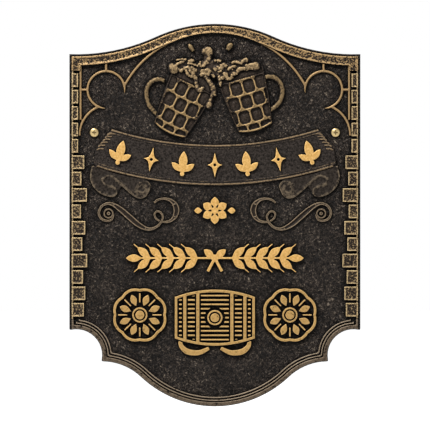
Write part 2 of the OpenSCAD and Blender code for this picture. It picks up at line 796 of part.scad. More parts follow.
module ear() {
  translate([0, -stem_w / 2]) square([barley_half - grain_l + stem_w, stem_w]);
  for (i = [0:grain_n - 1], s = [-1, 1]) translate([ear_start + i * grain_step, 0])
    rotate(-90 + s * grain_a) grain();
  translate([barley_half - grain_l, 0]) rotate(-90) petal(grain_l, grain_w);
}

// Bow that ties the two ears: a knot, two loops and two tails
knot_r = 3.6;
tail_l = 15;
tail_w = 2.8;
tail_a = 28;
loop_l = 14;
loop_w = 7;
loop_a = 52;

module barley_ears() color(bright) raise(ornament_h) translate([0, -barley_drop]) {
  ear();
  mirror([1, 0]) ear();
  circle(r = knot_r);
  for (s = [-1, 1]) rotate(s * tail_a) translate([-tail_w / 2, -tail_l]) square([tail_w, tail_l]);
  for (s = [-1, 1]) rotate(s * loop_a) petal(loop_l, loop_w);
}

// Cask lying on a pair of scrolled chocks

cask_c = [0, -cask_drop];
cask_line = 2.6;
hoop_w = 3;
// Distances of the hoops from the middle
hoop_at = [-30, -17, 17, 30];
stave_n = 5;
stave_step = cask_w / 12.7;
stave_w = 1.6;
bung_r = 7.6;
// Gap left round the hoops and inside the cask's edge
cask_gap = 1.4;
cask_taper = 0.26;

function cask_half(x) = cask_w / 2 * (1 - cask_taper * pow(2 * x / cask_l, 2));
function cask_edge(less) = [for (i = [-10:10]) let (x = (cask_l / 2 - less) * i / 10) [x, cask_half(x) - less]];

module cask_area(less) shape(concat(cask_edge(less), [for (p = backwards(cask_edge(less))) [p[0], -p[1]]]));

module hoops(w) intersection() {
  cask_area(0);
  for (x = hoop_at) translate([x - w / 2, -cask_w]) square([w, 2 * cask_w]);
}

// Width of a ringed dot's ring, and the gap inside it
dot_ring = 1.7;
dot_gap = 1.4;

module ringed_dot(r) {
  ring([0, 0], r, dot_ring);
  circle(r = r - dot_ring - dot_gap);
}

module staves() difference() {
  intersection() {
    cask_area(cask_line + cask_gap);
    for (i = [-stave_n:stave_n]) translate([-cask_l, i * stave_step - stave_w / 2])
      square([2 * cask_l, stave_w]);
  }
  circle(r = bung_r + 2 * cask_gap);
  hoops(hoop_w + 2 * cask_gap);
}

chock = [
  [6, -30.5, 1.6], [16, -35, 2.4], [27, -34, 2.8], [33.5, -28.5, 2.2], [34, -22.6, 1.8], [29.6, -20.6, 1.5]
];

module chocks() difference() {
  union() {
    stroke(curve(chock));
    mirror([1, 0]) stroke(curve(chock));
  }
  cask_area(-cask_gap);
}

module cask_ornament() color(bright) raise(ornament_h) translate(cask_c) {
  difference() {
    cask_area(0);
    cask_area(cask_line);
  }
  staves();
  hoops(hoop_w);
  ringed_dot(bung_r);
  chocks();
}

// Medallions beside the cask: a lobed ring, leaves and bars round a ringed dot

lobe_n = 8;
lobe_depth = 1.6;
medal_line = 2.6;
medal_dot_r = 7.6;
leaf_in = 9.6;
leaf_w = 6.4;
bar_in = 12.6;
bar_w = 1.4;
medal_gap = 3.2;

function lobed(less) = [
  for (i = [0:95]) let (a = i * 3.75)
    polar(medal_r - less - lobe_depth * (1 - abs(sin(a * lobe_n / 2))), a)
];

module medallion(x) color(bright) raise(ornament_h) translate([x, -medal_drop]) {
  difference() {
    shape(lobed(0));
    shape(lobed(medal_line));
  }
  for (i = [0:lobe_n - 1]) rotate(360 * i / lobe_n) {
    rotate(180 / lobe_n) translate([0, leaf_in]) petal(medal_r - leaf_in - medal_gap - medal_line, leaf_w);
    translate([-bar_w / 2, bar_in]) square([bar_w, medal_r - bar_in - medal_gap - medal_line]);
  }
  ringed_dot(medal_dot_r);
}

// Screws and wall plugs

// Radius of the head's dome, which leaves a rim at its edge
dome_h = head_h * 0.7;
dome_r = (pow(head_r, 2) + pow(dome_h, 2)) / (2 * dome_h);
slot_l = head_r * 1.1;
point_r = 0.3;

module screw(x) color(brass) translate([x, 0, 0]) rotate([90, 0, 0]) {
  translate([0, 0, ground_d]) difference() {
    intersection() {
      cylinder(r = head_r, h = head_h);
      translate([0, 0, head_h - dome_r]) sphere(r = dome_r, $fn = 96);
    }
    for (a = [0, 90]) rotate(a) translate([-slot_l / 2, -slot_w / 2, head_h - slot_d])
      cube([slot_l, slot_w, slot_d + 1]);
  }
  translate([0, 0, ground_d - shank_l + point_l]) cylinder(r = thread_r, h = shank_l - point_l);
  translate([0, 0, ground_d - shank_l]) cylinder(r1 = point_r, r2 = thread_r, h = point_l);
}

module wall_plug(x) color("#c9c2b4") translate([x, 0, 0]) rotate([-90, 0, 0]) difference() {
  cylinder(r = plug_r, h = plug_l);
  translate([0, 0, -1]) cylinder(r = thread_r + plug_gap, h = plug_l + 2);
  translate([-slit_w / 2, -plug_r - 1, plug_l / 2]) cube([slit_w, 2 * plug_r + 2, plug_l]);
}

plate();
top_band();
tracery();  // left_tracery
right_side() tracery();  // right_tracery
blocks(0, upper_blocks - 1, block_gap);  // left_upper_blocks
right_side() blocks(0, upper_blocks - 1, block_gap);  // right_upper_blocks
blocks(upper_blocks, len(block_widths) - 1, 0);  // left_lower_blocks
right_side() blocks(upper_blocks, len(block_widths) - 1, 0);  // right_lower_blocks
bottom_moulding();
ribbon_banner();
ribbon_tail();  // left_ribbon_tail
right_side() ribbon_tail();  // right_ribbon_tail
flourish();  // left_flourish
right_side() flourish();  // right_flourish
mug(left_mug_at, left_mug_lean, left_mug_hidden);  // left_mug
mug(right_mug_at, right_mug_lean, right_mug_hidden);  // right_mug
handle(left_handle, left_mug_at, left_mug_lean);  // left_mug_handle
handle(right_handle, right_mug_at, right_mug_lean);  // right_mug_handle
foam();
foam_drops();
ribbon_ornaments();
centre_rosette();
barley_ears();
cask_ornament();
medallion(-medal_x);  // left_medallion
medallion(medal_x);  // right_medallion
screw(-screw_x);  // left_screw
screw(screw_x);  // right_screw
wall_plug(-screw_x);  // left_wall_plug
wall_plug(screw_x);  // right_wall_plug
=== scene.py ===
"""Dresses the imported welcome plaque: sand-cast aluminium, painted dark bronze and rubbed back to gold.

Sizes in the classes are millimetres, turned to metres where a mesh is made. The wall is the plane y = 0, the
front faces -Y, and a height is measured from the pebbled ground towards the front.
"""
import logging
import math
import random
from collections.abc import Callable
from dataclasses import dataclass
from enum import Enum
from functools import partial

import bpy
from mathutils import Matrix, Vector
from mathutils.kdtree import KDTree


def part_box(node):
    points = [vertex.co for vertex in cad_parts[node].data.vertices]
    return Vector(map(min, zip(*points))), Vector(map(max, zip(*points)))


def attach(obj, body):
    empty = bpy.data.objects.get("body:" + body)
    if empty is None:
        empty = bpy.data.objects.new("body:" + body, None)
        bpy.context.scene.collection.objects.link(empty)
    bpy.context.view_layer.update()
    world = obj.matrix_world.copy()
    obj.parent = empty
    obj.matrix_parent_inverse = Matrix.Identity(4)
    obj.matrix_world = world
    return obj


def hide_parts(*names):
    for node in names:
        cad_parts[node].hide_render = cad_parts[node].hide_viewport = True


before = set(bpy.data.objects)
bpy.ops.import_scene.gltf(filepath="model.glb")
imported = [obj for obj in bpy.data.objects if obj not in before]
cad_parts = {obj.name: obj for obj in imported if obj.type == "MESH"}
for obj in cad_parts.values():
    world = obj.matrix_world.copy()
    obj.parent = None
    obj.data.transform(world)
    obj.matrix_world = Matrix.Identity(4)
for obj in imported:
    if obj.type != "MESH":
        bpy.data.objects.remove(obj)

Piece = bpy.types.Object
Material = bpy.types.Material
Socket = bpy.types.NodeSocket
AddNode = Callable[..., bpy.types.Node]
Numbers = tuple[float, ...]

MM = 0.001
# Thickness of the plate at its pebbled ground
GROUND = 6.0
ROOT_BODY = "plaque"
SIDES = ("left", "right")
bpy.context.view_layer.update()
# Height up to which a vertex is in a form's foot, height from which it is in the form itself, and height from
# which a steep face is one of the form's walls
FOOT_TO, RELIEF_FROM, WALL_FROM = 0.05, 0.3, 0.5
# A face is steep where its normal's part along Y is smaller than this
STEEP = 0.5
# A vertex this near to a face lies on it, and points this near to each other are one
ON_FACE, MERGE = 0.01 * MM, 0.002 * MM
# Values between which most of a noise pattern lies, and those between which nearly all of it does
NOISE_LOW, NOISE_HIGH = 0.35, 0.65
WIDE_LOW, WIDE_HIGH = 0.3, 0.7
# Colour of dirt and painted shade in crevices, and the openness from which a surface has neither
GRIME_AND_SHADE, UNDARKENED_FROM = "050403", 0.98
log = logging.getLogger("plaque")


# Small tools

def linear(code: str) -> Numbers:
    """Turns an sRGB hex colour to linear values.

    Args:
        code: Six hex digits, red first.

    Returns:
        Linear red, green and blue, with an alpha of 1.
    """
    parts = [int(code[i:i + 2], 16) / 255 for i in (0, 2, 4)]
    red, green, blue = [p / 12.92 if p <= 0.04045 else ((p + 0.055) / 1.055) ** 2.4 for p in parts]
    return red, green, blue, 1.0


def clamped(value: float) -> float:
    """Holds a value between 0 and 1."""
    return min(max(value, 0), 1)


def add_node(tree: bpy.types.NodeTree, kind: str, inputs: dict | None = None, **settings) -> bpy.types.Node:
    """Adds one shader node with its settings, values and links.

    Args:
        tree: Node tree that receives the node.
        kind: Blender's type name for the node.
        inputs: Input socket, by name or number, to the value or the output socket that feeds it.
        settings: Attributes set on the node before its inputs.

    Returns:
        The new node.
    """
    node = tree.nodes.new(kind)
    for key, value in settings.items():
        setattr(node, key, value)
    for key, value in (inputs or {}).items():
        if isinstance(value, Socket):
            tree.links.new(value, node.inputs[key])
        else:
            node.inputs[key].default_value = value
    return node


def start_material(name: str) -> tuple[Material, AddNode]:
    """Starts a material without nodes.

    Args:
        name: Name of the material.

    Returns:
        The material, and add_node bound to its tree.
    """
    material = bpy.data.materials.new(name)
    material.use_nodes = True
    material.node_tree.nodes.clear()
    return material, partial(add_node, material.node_tree)


def only(obj: Piece) -> Piece:
    """Selects one object alone and makes it active.

    Args:
        obj: Object to select.

    Returns:
        The same object.
    """
    bpy.ops.object.select_all(action="DESELECT")
    obj.select_set(True)
    bpy.context.view_layer.objects.active = obj
    return obj


def named(name: str) -> Piece:
    """Gives the active object, and its mesh, a name.

    Args:
        name: Name to give.

    Returns:
        The active object.
    """
    obj = bpy.context.view_layer.objects.active
    obj.name = obj.data.name = name
    return obj


def bake_place(obj: Piece) -> Piece:
    """Moves an object's place, turn and size into its mesh.

    Args:
        obj: Mesh object.

    Returns:
        The same object.
    """
    only(obj)
    bpy.ops.object.transform_apply(location=True, rotation=True, scale=True)
    return obj


def modify(obj: Piece, kind: str, **settings) -> Piece:
    """Adds one modifier and applies it.

    Args:
        obj: Object that is changed.
        kind: Blender's type name for the modifier.
        settings: Attributes set on the modifier.

    Returns:
        The same object.
    """
    only(obj)
    modifier = obj.modifiers.new(kind.lower(), kind)
    for key, value in settings.items():
        setattr(modifier, key, value)
    bpy.ops.object.modifier_apply(modifier=modifier.name)
    return obj


def cut(obj: Piece, cutter: Piece) -> None:
    """Takes a cutter out of an object and deletes the cutter."""
    modify(obj, "BOOLEAN", object=cutter, operation="DIFFERENCE", solver="EXACT")
    bpy.data.objects.remove(cutter)


def remesh(obj: Piece, voxel: float) -> None:
    """Rebuilds a mesh from small even faces of about the size voxel."""
    modify(obj, "REMESH", mode="VOXEL", voxel_size=voxel * 1.0 * MM)


def roughen(obj: Piece, pattern: str, size: float, layers: int, height: float, **settings) -> None:
    """Displaces a mesh by a procedural cloud pattern.

    Args:
        obj: Object that is changed.
        pattern: Name of the pattern.
        size: Size of its features.
        layers: Number of finer layers in it.
        height: Height of the relief that it gives.
        settings: More attributes of the modifier.
    """
    texture = bpy.data.textures.new(pattern, "CLOUDS")
    texture.noise_scale = size * MM
    texture.noise_depth = layers
    modify(
        obj, "DISPLACE", texture=texture, strength=height * MM, mid_level=0.5, texture_coords="LOCAL",
        **settings,
    )


def pick(obj: Piece, kind: str, chosen: Callable[..., bool]) -> None:
    """Enters edit mode with only the chosen vertices or faces selected.

    Args:
        obj: Mesh object.
        kind: VERT or FACE.
        chosen: Test that takes a vertex or a face and says whether it is selected.
    """
    only(obj)
    bpy.ops.object.mode_set(mode="EDIT")
    bpy.ops.mesh.select_mode(type=kind)
    bpy.ops.mesh.select_all(action="DESELECT")
    bpy.ops.object.mode_set(mode="OBJECT")
    for part in obj.data.vertices if kind == "VERT" else obj.data.polygons:
        part.select = chosen(part)
    bpy.ops.object.mode_set(mode="EDIT")


def shift_vertices(obj: Piece, chosen: Callable[..., bool], y: float) -> None:
    """Moves the chosen vertices along Y.

    Args:
        obj: Mesh object.
        chosen: Test that takes a vertex and says whether it moves.
        y: How far they move.
    """
    pick(obj, "VERT", chosen)
    bpy.ops.transform.translate(value=(0, y * MM, 0))
    bpy.ops.object.mode_set(mode="OBJECT")


def node_copy(node: str, name: str) -> Piece:
    """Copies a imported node's mesh and joins its loose triangles.

    Args:
        node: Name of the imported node.
        name: Name of the copy.

    Returns:
        The copy, in place.
    """
    copy = bpy.data.objects.new(name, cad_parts[node].data.copy())
    copy.data.materials.clear()
    bpy.context.scene.collection.objects.link(copy)
    only(copy)
    bpy.ops.object.mode_set(mode="EDIT")
    bpy.ops.mesh.select_all(action="SELECT")
    bpy.ops.mesh.remove_doubles(threshold=MERGE)
    bpy.ops.object.mode_set(mode="OBJECT")
    return copy


def joined(objects: list[Piece], name: str) -> Piece:
    """Joins several objects into one.

    Args:
        objects: Mesh objects.
        name: Name of the whole.

    Returns:
        The first object, which now holds them all.
    """
    only(objects[0])
    for obj in objects:
        obj.select_set(True)
    bpy.ops.object.join()
    return named(name)


def block(name: str, middle: Numbers, size: Numbers, turn: float = 0) -> Piece:
    """Adds a plain block, as a start or a cutter.

    Args:
        name: Name of the block.
        middle: Its middle, in metres.
        size: Its size along each axis, in metres.
        turn: Its turn about Y, in radians.

    Returns:
        The block, with its place in its mesh.
    """
    bpy.ops.object.select_all(action="DESELECT")
    bpy.ops.mesh.primitive_cube_add(size=1, location=middle)
    obj = named(name)
    obj.scale = size
    obj.rotation_euler = (0, turn, 0)
    return bake_place(obj)


def turned(name: str, count: int, rings: list[tuple[float, float]]) -> Piece:
    """Draws a closed round body about the Y axis, ring after ring.

    Args:
        name: Name of the body.
        count: Number of points round a ring.
        rings: Each ring's radius and place along Y.

    Returns:
        The body, with its faces outwards.
    """
    (radius, y), *more = rings
    bpy.ops.object.select_all(action="DESELECT")
    bpy.ops.mesh.primitive_circle_add(
        vertices=count, radius=radius * MM, fill_type="NGON", location=(0, y * MM, 0),
        rotation=(math.pi / 2, 0, 0),
    )
    body = bake_place(named(name))
    bpy.ops.object.mode_set(mode="EDIT")
    bpy.ops.mesh.select_all(action="SELECT")
    for next_radius, next_y in more:
        growth = next_radius / radius
        bpy.ops.mesh.extrude_region_move()
        bpy.ops.transform.translate(value=(0, (next_y - y) * MM, 0))
        bpy.ops.transform.resize(value=(growth, 1, growth), center_override=(0, next_y * MM, 0))
        radius, y = next_radius, next_y
    bpy.ops.mesh.select_all(action="SELECT")
    bpy.ops.mesh.normals_make_consistent(inside=False)
    bpy.ops.object.mode_set(mode="OBJECT")
    return body


def height_of(place: Vector) -> float:
    """Gives the height above the pebbled ground, in millimetres."""
    return -place.y / MM - GROUND


def raise_to(vertex: bpy.types.MeshVertex, height: float) -> None:
    """Sets a vertex at a height above the pebbled ground, in millimetres."""
    vertex.co.y = -(GROUND + height) * MM


def plan_distances(mesh: bpy.types.Mesh, spots: list[Vector]) -> list[float]:
    """Measures, in plan, how far each vertex lies from the nearest of some spots.

    Args:
        mesh: Mesh whose vertices are measured.
        spots: Each spot's x and z, in metres.

    Returns:
        One distance for each vertex, in millimetres.
    """
    tree = KDTree(len(spots))
    for index, spot in enumerate(spots):
        tree.insert((spot.x, spot.y, 0), index)
    tree.balance()
    return [tree.find((v.co.x, v.co.z, 0))[2] / MM for v in mesh.vertices]


def wall_distances(mesh: bpy.types.Mesh, above: float = WALL_FROM) -> list[float]:
    """Measures, in plan, how far each vertex lies from the nearest steep face.

    Args:
        mesh: Mesh whose vertices are measured.
        above: Height over which a steep face counts.

    Returns:
        One distance for each vertex, in millimetres.
    """
    walls = [f.center.xz for f in mesh.polygons if abs(f.normal.y) < STEEP and height_of(f.center) > above]
    return plan_distances(mesh, walls)


def half_round(distance: float, half_width: float, least: float) -> float:
    """Gives the share of its full height that a round-topped stroke has near its edge.

    Args:
        distance: Distance from the stroke's edge.
        half_width: Distance at which the full height is reached.
        least: Share of the height at the edge itself.

    Returns:
        A share from least to 1.
    """
    reach = min(distance / half_width, 1)
    return least + (1 - least) * math.sqrt(1 - (1 - reach) ** 2)


# Finishes

class Slot(Enum):
    """Material slots, one of which each finish holds."""

    DARK = "dark_bronze_paint"
    RUBBED = "rubbed_bronze_relief"
    BRIGHT = "bright_gold_relief"
    SCREW = "brass_screw"
    PLUG = "plug_plastic"


def crevice_dirt_and_shade(add: AddNode, colour: Socket, reach: float, dirt_and_shade_from: float) -> Socket:
    """Darkens a colour where other surfaces stand close by, with dirt and with painted shade where shade falls
    there.

    Args:
        add: Adds a node to the material.
        colour: Colour before the dirt and painted shade.
        reach: How far away a surface still counts.
        dirt_and_shade_from: Openness below which the dirt and painted shade are at their darkest.

    Returns:
        The colour with dirt and painted shade.
    """
    open_air = add("ShaderNodeAmbientOcclusion", {"Distance": reach * MM}, samples=8).outputs["AO"]
    unoccluded = add("ShaderNodeMapRange", {
        "Value": open_air, "From Min": dirt_and_shade_from, "From Max": UNDARKENED_FROM,
    }, interpolation_type="SMOOTHSTEP").outputs["Result"]
    return add("ShaderNodeMix", {"Factor": unoccluded, 6: linear(GRIME_AND_SHADE), 7: colour}, data_type="RGBA").outputs[2]


@dataclass(frozen=True)
class RubbedPaint:
    """Bronze paint over cast aluminium, rubbed so that the gold shows from a height upwards.

    Cast paint reads as a dark, slightly leathery film in the hollows and as a satin gold skin on the high
    faces, brightest along the rubbed edges, with specks of dark left in the casting's pits and a near-black
    line of dirt and painted shade where relief meets the ground. The pits are drawn coarser than real ones, so that
    they show.
    """

    name: str
    slot: Slot
    hollow: str = "1a1512"
    paint: str = "3a322b"
    gold: str = "8f7146"
    pale_gold: str = "c79f62"
    rub_from: float = 0.8
    rub_to: float = 1.6
    face_wear: float = 0.6
    edge_wear: float = 0.7
    flat_at: float = 0.505
    sharp_at: float = 0.56
    whole_at: float = 0.3
    bare_at: float = 0.75
    speck: float = 1.0
    speck_size: float = 1.3
    cloud_size: float = 9.0
    patchy: float = 0.15
    tone: float = 0.25
    crevice: float = 3.0
    dirt_and_shade_from: float = 0.6
    metallic: float = 0.15
    specular: float = 0.06
    rough_gold: float = 0.4
    rough_paint: float = 0.5
    grain: float = 0.12
    bump: float = 0.7

    def build(self) -> Material:
        """Builds the material.

        Returns:
            The finished material.
        """
        material, add = start_material(self.name)
        place = add("ShaderNodeTexCoord").outputs["Object"]
        pits = add("ShaderNodeTexNoise", {
            "Vector": place, "Scale": 1 / (self.speck_size * MM), "Detail": 3.0, "Roughness": 0.65,
        }).outputs[0]
        edge = add("ShaderNodeMapRange", {
            "Value": add("ShaderNodeNewGeometry").outputs["Pointiness"],
            "From Min": self.flat_at, "From Max": self.sharp_at,
        }).outputs["Result"]
        worn = self._worn(add, place, pits, edge)
        mottle = add("ShaderNodeMapRange", {
            "Value": pits, "From Min": NOISE_LOW, "From Max": NOISE_HIGH,
        }).outputs["Result"]
        shine = add("ShaderNodeMath", {0: mottle, 1: self.tone, 2: edge}, operation="MULTIPLY_ADD").outputs[0]
        skin = add("ShaderNodeMix", {
            "Factor": shine, 6: linear(self.gold), 7: linear(self.pale_gold),
        }, data_type="RGBA").outputs[2]
        film = add("ShaderNodeMix", {
            "Factor": mottle, 6: linear(self.hollow), 7: linear(self.paint),
        }, data_type="RGBA").outputs[2]
        colour = add("ShaderNodeMix", {"Factor": worn, 6: film, 7: skin}, data_type="RGBA").outputs[2]
        gloss = add("ShaderNodeMapRange", {
            "Value": worn, "To Min": self.rough_paint, "To Max": self.rough_gold,
        }).outputs["Result"]
        metal = add("ShaderNodeMath", {0: worn, 1: self.metallic}, operation="MULTIPLY").outputs[0]
        bump = add("ShaderNodeBump", {
            "Height": pits, "Strength": self.bump, "Distance": self.grain * MM,
        }).outputs[0]
        # The base colour carries dirt and painted shade where other surfaces stand close
        shader = add("ShaderNodeBsdfPrincipled", {
            "Base Color": crevice_dirt_and_shade(add, colour, self.crevice, self.dirt_and_shade_from), "Roughness": gloss,
            "Metallic": metal, "Normal": bump, "Specular IOR Level": self.specular,
        }).outputs[0]
        add("ShaderNodeOutputMaterial", {"Surface": shader})
        return material

    def _worn(self, add: AddNode, place: Socket, pits: Socket, edge: Socket) -> Socket:
        """Works out how far the paint is rubbed away.

        Args:
            add: Adds a node to the material.
            place: Object coordinates.
            pits: Fine noise, low in the casting's pits.
            edge: How sharp the surface is, from 0 on a flat face to 1 on an edge.

        Returns:
            Wear from 0 for whole paint to 1 for bare gold.
        """
        height = add("ShaderNodeMapRange", {
            "Value": add("ShaderNodeSeparateXYZ", {0: place}).outputs["Y"],
            "From Min": -(GROUND + self.rub_from) * MM, "From Max": -(GROUND + self.rub_to) * MM,
        }, interpolation_type="SMOOTHSTEP").outputs["Result"]
        sharp = add("ShaderNodeMapRange", {
            "Value": edge, "To Min": self.face_wear, "To Max": self.face_wear + self.edge_wear,
        }).outputs["Result"]
        wear = add("ShaderNodeMath", {0: height, 1: sharp}, operation="MULTIPLY").outputs[0]
        clouds = add("ShaderNodeTexNoise", {
            "Vector": place, "Scale": 1 / (self.cloud_size * MM), "Detail": 2.0,
        }).outputs[0]
        # Pits keep specks of paint, and some places are more worn than others
        for noise, swing in ((pits, self.speck / 2), (clouds, self.patchy)):
            change = add("ShaderNodeMapRange", {
                "Value": noise, "From Min": WIDE_LOW, "From Max": WIDE_HIGH, "To Min": -swing, "To Max": swing,
            }).outputs["Result"]
            wear = add("ShaderNodeMath", {0: wear, 1: change}, operation="ADD").outputs[0]
        return add("ShaderNodeMapRange", {
            "Value": wear, "From Min": self.whole_at, "From Max": self.bare_at,
        }, interpolation_type="SMOOTHSTEP").outputs["Result"]


@dataclass(frozen=True)
class PebbledPaint:
    """Dark bronze paint on the pebbled ground of the casting.

    A near-black brown film, leathery to the eye, with rubbed gold specks and pale painted glints, which stand in for
    highlights, on its highest grains, worn in some places more than in others. Its grain is coarser than real sand,
    so that it shows.
    """

    name: str
    slot: Slot
    hollow: str = "0d0b0a"
    paint: str = "3a332e"
    high: str = "655a50"
    # Pale colour painted on the highest grains as glints, in place of highlights
    painted_glint: str = "b4a590"
    grain_size: float = 2.2
    wrinkle_size: float = 5.0
    wrinkle_width: float = 0.07
    wrinkle_tone: float = 0.13
    wrinkle_rise: float = 0.3
    patch_size: float = 24.0
    patch_low: float = -0.05
    patch_high: float = 0.02
    levels: Numbers = (0.4, 0.6, 0.7, 0.82)
    bump: float = 3.2
    rough: float = 0.32
    specular: float = 0.1
    crevice: float = 5.0
    dirt_and_shade_from: float = 0.8

    def build(self) -> Material:
        """Builds the material.

        Returns:
            The finished material.
        """
        material, add = start_material(self.name)
        place = add("ShaderNodeTexCoord").outputs["Object"]
        grain = add("ShaderNodeTexNoise", {
            "Vector": place, "Scale": 1 / (self.grain_size * MM), "Detail": 3.0, "Roughness": 0.6,
            "Distortion": 1.0,
        }).outputs[0]
        swirl = add("ShaderNodeTexNoise", {
            "Vector": place, "Scale": 1 / (self.wrinkle_size * MM), "Detail": 2.0, "Distortion": 1.2,
        }).outputs[0]
        offset = add("ShaderNodeMath", {0: swirl, 1: 0.5}, operation="SUBTRACT").outputs[0]
        level = add("ShaderNodeMath", {0: offset}, operation="ABSOLUTE").outputs[0]
        wrinkle = add("ShaderNodeMapRange", {
            "Value": level, "From Min": self.wrinkle_width, "From Max": 0.0,
        }, interpolation_type="SMOOTHSTEP").outputs["Result"]
        patch = add("ShaderNodeTexNoise", {
            "Vector": place, "Scale": 1 / (self.patch_size * MM), "Detail": 2.0,
        }).outputs[0]
        lift = add("ShaderNodeMapRange", {
            "Value": patch, "From Min": NOISE_LOW, "From Max": NOISE_HIGH,
            "To Min": self.patch_low, "To Max": self.patch_high,
        }).outputs["Result"]
        creased, shape = [
            add("ShaderNodeMath", {0: wrinkle, 1: rise, 2: grain}, operation="MULTIPLY_ADD").outputs[0]
            for rise in (self.wrinkle_tone, self.wrinkle_rise)
        ]
        height = add("ShaderNodeMath", {0: creased, 1: lift}, operation="ADD").outputs[0]
        body = add("ShaderNodeValToRGB", {0: height})
        stops = body.color_ramp.elements
        stops[0].position, stops[1].position = self.levels[:2]
        stops[0].color, stops[1].color = linear(self.hollow), linear(self.paint)
        # The last stop paints glints: pale flecks that stand in for highlights on the highest grains
        for level, code in zip(self.levels[2:], (self.high, self.painted_glint)):
            stops.new(level).color = linear(code)
        bump = add("ShaderNodeBump", {
            "Height": shape, "Strength": 1.0, "Distance": self.bump * MM,
        }).outputs[0]
        # The base colour is darker near the relief: dirt, and painted shade where the relief shades the ground
        shader = add("ShaderNodeBsdfPrincipled", {
            "Base Color": crevice_dirt_and_shade(add, body.outputs[0], self.crevice, self.dirt_and_shade_from),
            "Roughness": self.rough, "Normal": bump, "Specular IOR Level": self.specular,
        }).outputs[0]
        add("ShaderNodeOutputMaterial", {"Surface": shader})
        return material


@dataclass(frozen=True)
class TurnedBrass:
    """Solid brass, turned and brushed: pale yellow, with a fine uneven sheen and a browner recess."""

    name: str
    slot: Slot
    brass: str = "b8a274"
    tarnish: str = "4f3d22"
    tarnish_size: float = 1.6
    tarnish_reach: float = 1.4
    tarnish_below: float = 0.55
    clean_above: float = 0.95
    least_bright: float = 0.35
    brush_size: float = 0.5
    brush_depth: float = 0.03
    rough_least: float = 0.32
    rough_most: float = 0.5

    def build(self) -> Material:
        """Builds the material.

        Returns:
            The finished material.
        """
        material, add = start_material(self.name)
        place = add("ShaderNodeTexCoord").outputs["Object"]
        cloud, brushed = [
            add("ShaderNodeTexNoise", {"Vector": place, "Scale": 1 / (size * MM), "Detail": detail}).outputs[0]
            for size, detail in ((self.tarnish_size, 3.0), (self.brush_size, 2.0))
        ]
        open_air = add("ShaderNodeAmbientOcclusion", {
            "Distance": self.tarnish_reach * MM,
        }, samples=8).outputs["AO"]
        unoccluded = add("ShaderNodeMapRange", {
            "Value": open_air, "From Min": self.tarnish_below, "From Max": self.clean_above,
        }).outputs["Result"]
        bright = add("ShaderNodeMath", {
            0: unoccluded, 1: cloud, 2: self.least_bright,
        }, operation="MULTIPLY_ADD").outputs[0]
        colour = add("ShaderNodeMix", {
            "Factor": bright, 6: linear(self.tarnish), 7: linear(self.brass),
        }, data_type="RGBA", clamp_factor=True).outputs[2]
        gloss = add("ShaderNodeMapRange", {
            "Value": brushed, "To Min": self.rough_least, "To Max": self.rough_most,
        }).outputs["Result"]
        bump = add("ShaderNodeBump", {
            "Height": brushed, "Strength": 0.3, "Distance": self.brush_depth * MM,
        }).outputs[0]
        shader = add("ShaderNodeBsdfPrincipled", {
            "Base Color": colour, "Roughness": gloss, "Metallic": 1.0, "Normal": bump,
        }).outputs[0]
        add("ShaderNodeOutputMaterial", {"Surface": shader})
        return material


@dataclass(frozen=True)
class MouldedNylon:
    """Injection-moulded nylon: milky, slightly warm grey, with a faint satin grain and soft light inside."""

    name: str
    slot: Slot
    body: str = "c9c3b6"
    shade: str = "a9a294"
    flow_size: float = 5.0
    grain_size: float = 0.4
    grain_depth: float = 0.03
    rough: float = 0.45
    light_inside: float = 0.15
    light_reach: float = 1.0

    def build(self) -> Material:
        """Builds the material.

        Returns:
            The finished material.
        """
        material, add = start_material(self.name)
        place = add("ShaderNodeTexCoord").outputs["Object"]
        flow, grain = [
            add("ShaderNodeTexNoise", {"Vector": place, "Scale": 1 / (size * MM), "Detail": detail}).outputs[0]
            for size, detail in ((self.flow_size, 2.0), (self.grain_size, 1.0))
        ]
        colour = add("ShaderNodeMix", {
            "Factor": flow, 6: linear(self.shade), 7: linear(self.body),
        }, data_type="RGBA").outputs[2]
        bump = add("ShaderNodeBump", {
            "Height": grain, "Strength": 0.2, "Distance": self.grain_depth * MM,
        }).outputs[0]
        shader = add("ShaderNodeBsdfPrincipled", {
            "Base Color": colour, "Roughness": self.rough, "Normal": bump,
            "Subsurface Weight": self.light_inside, "Subsurface Scale": self.light_reach * MM,
        }).outputs[0]
        add("ShaderNodeOutputMaterial", {"Surface": shader})
        return material


def dress(piece: Piece, material: Material, body: str, node: str) -> None:
    """Gives a finished piece its material and body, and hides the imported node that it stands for.

    Args:
        piece: Finished mesh object.
        material: Material for all its faces.
        body: Body that the piece rides on.
        node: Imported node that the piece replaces.
    """
    piece.data.materials.clear()
    piece.data.materials.append(material)
    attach(piece, body)
    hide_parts(node)
    log.info("%s: %d faces on %s", piece.name, len(piece.data.polygons), body)


# The casting

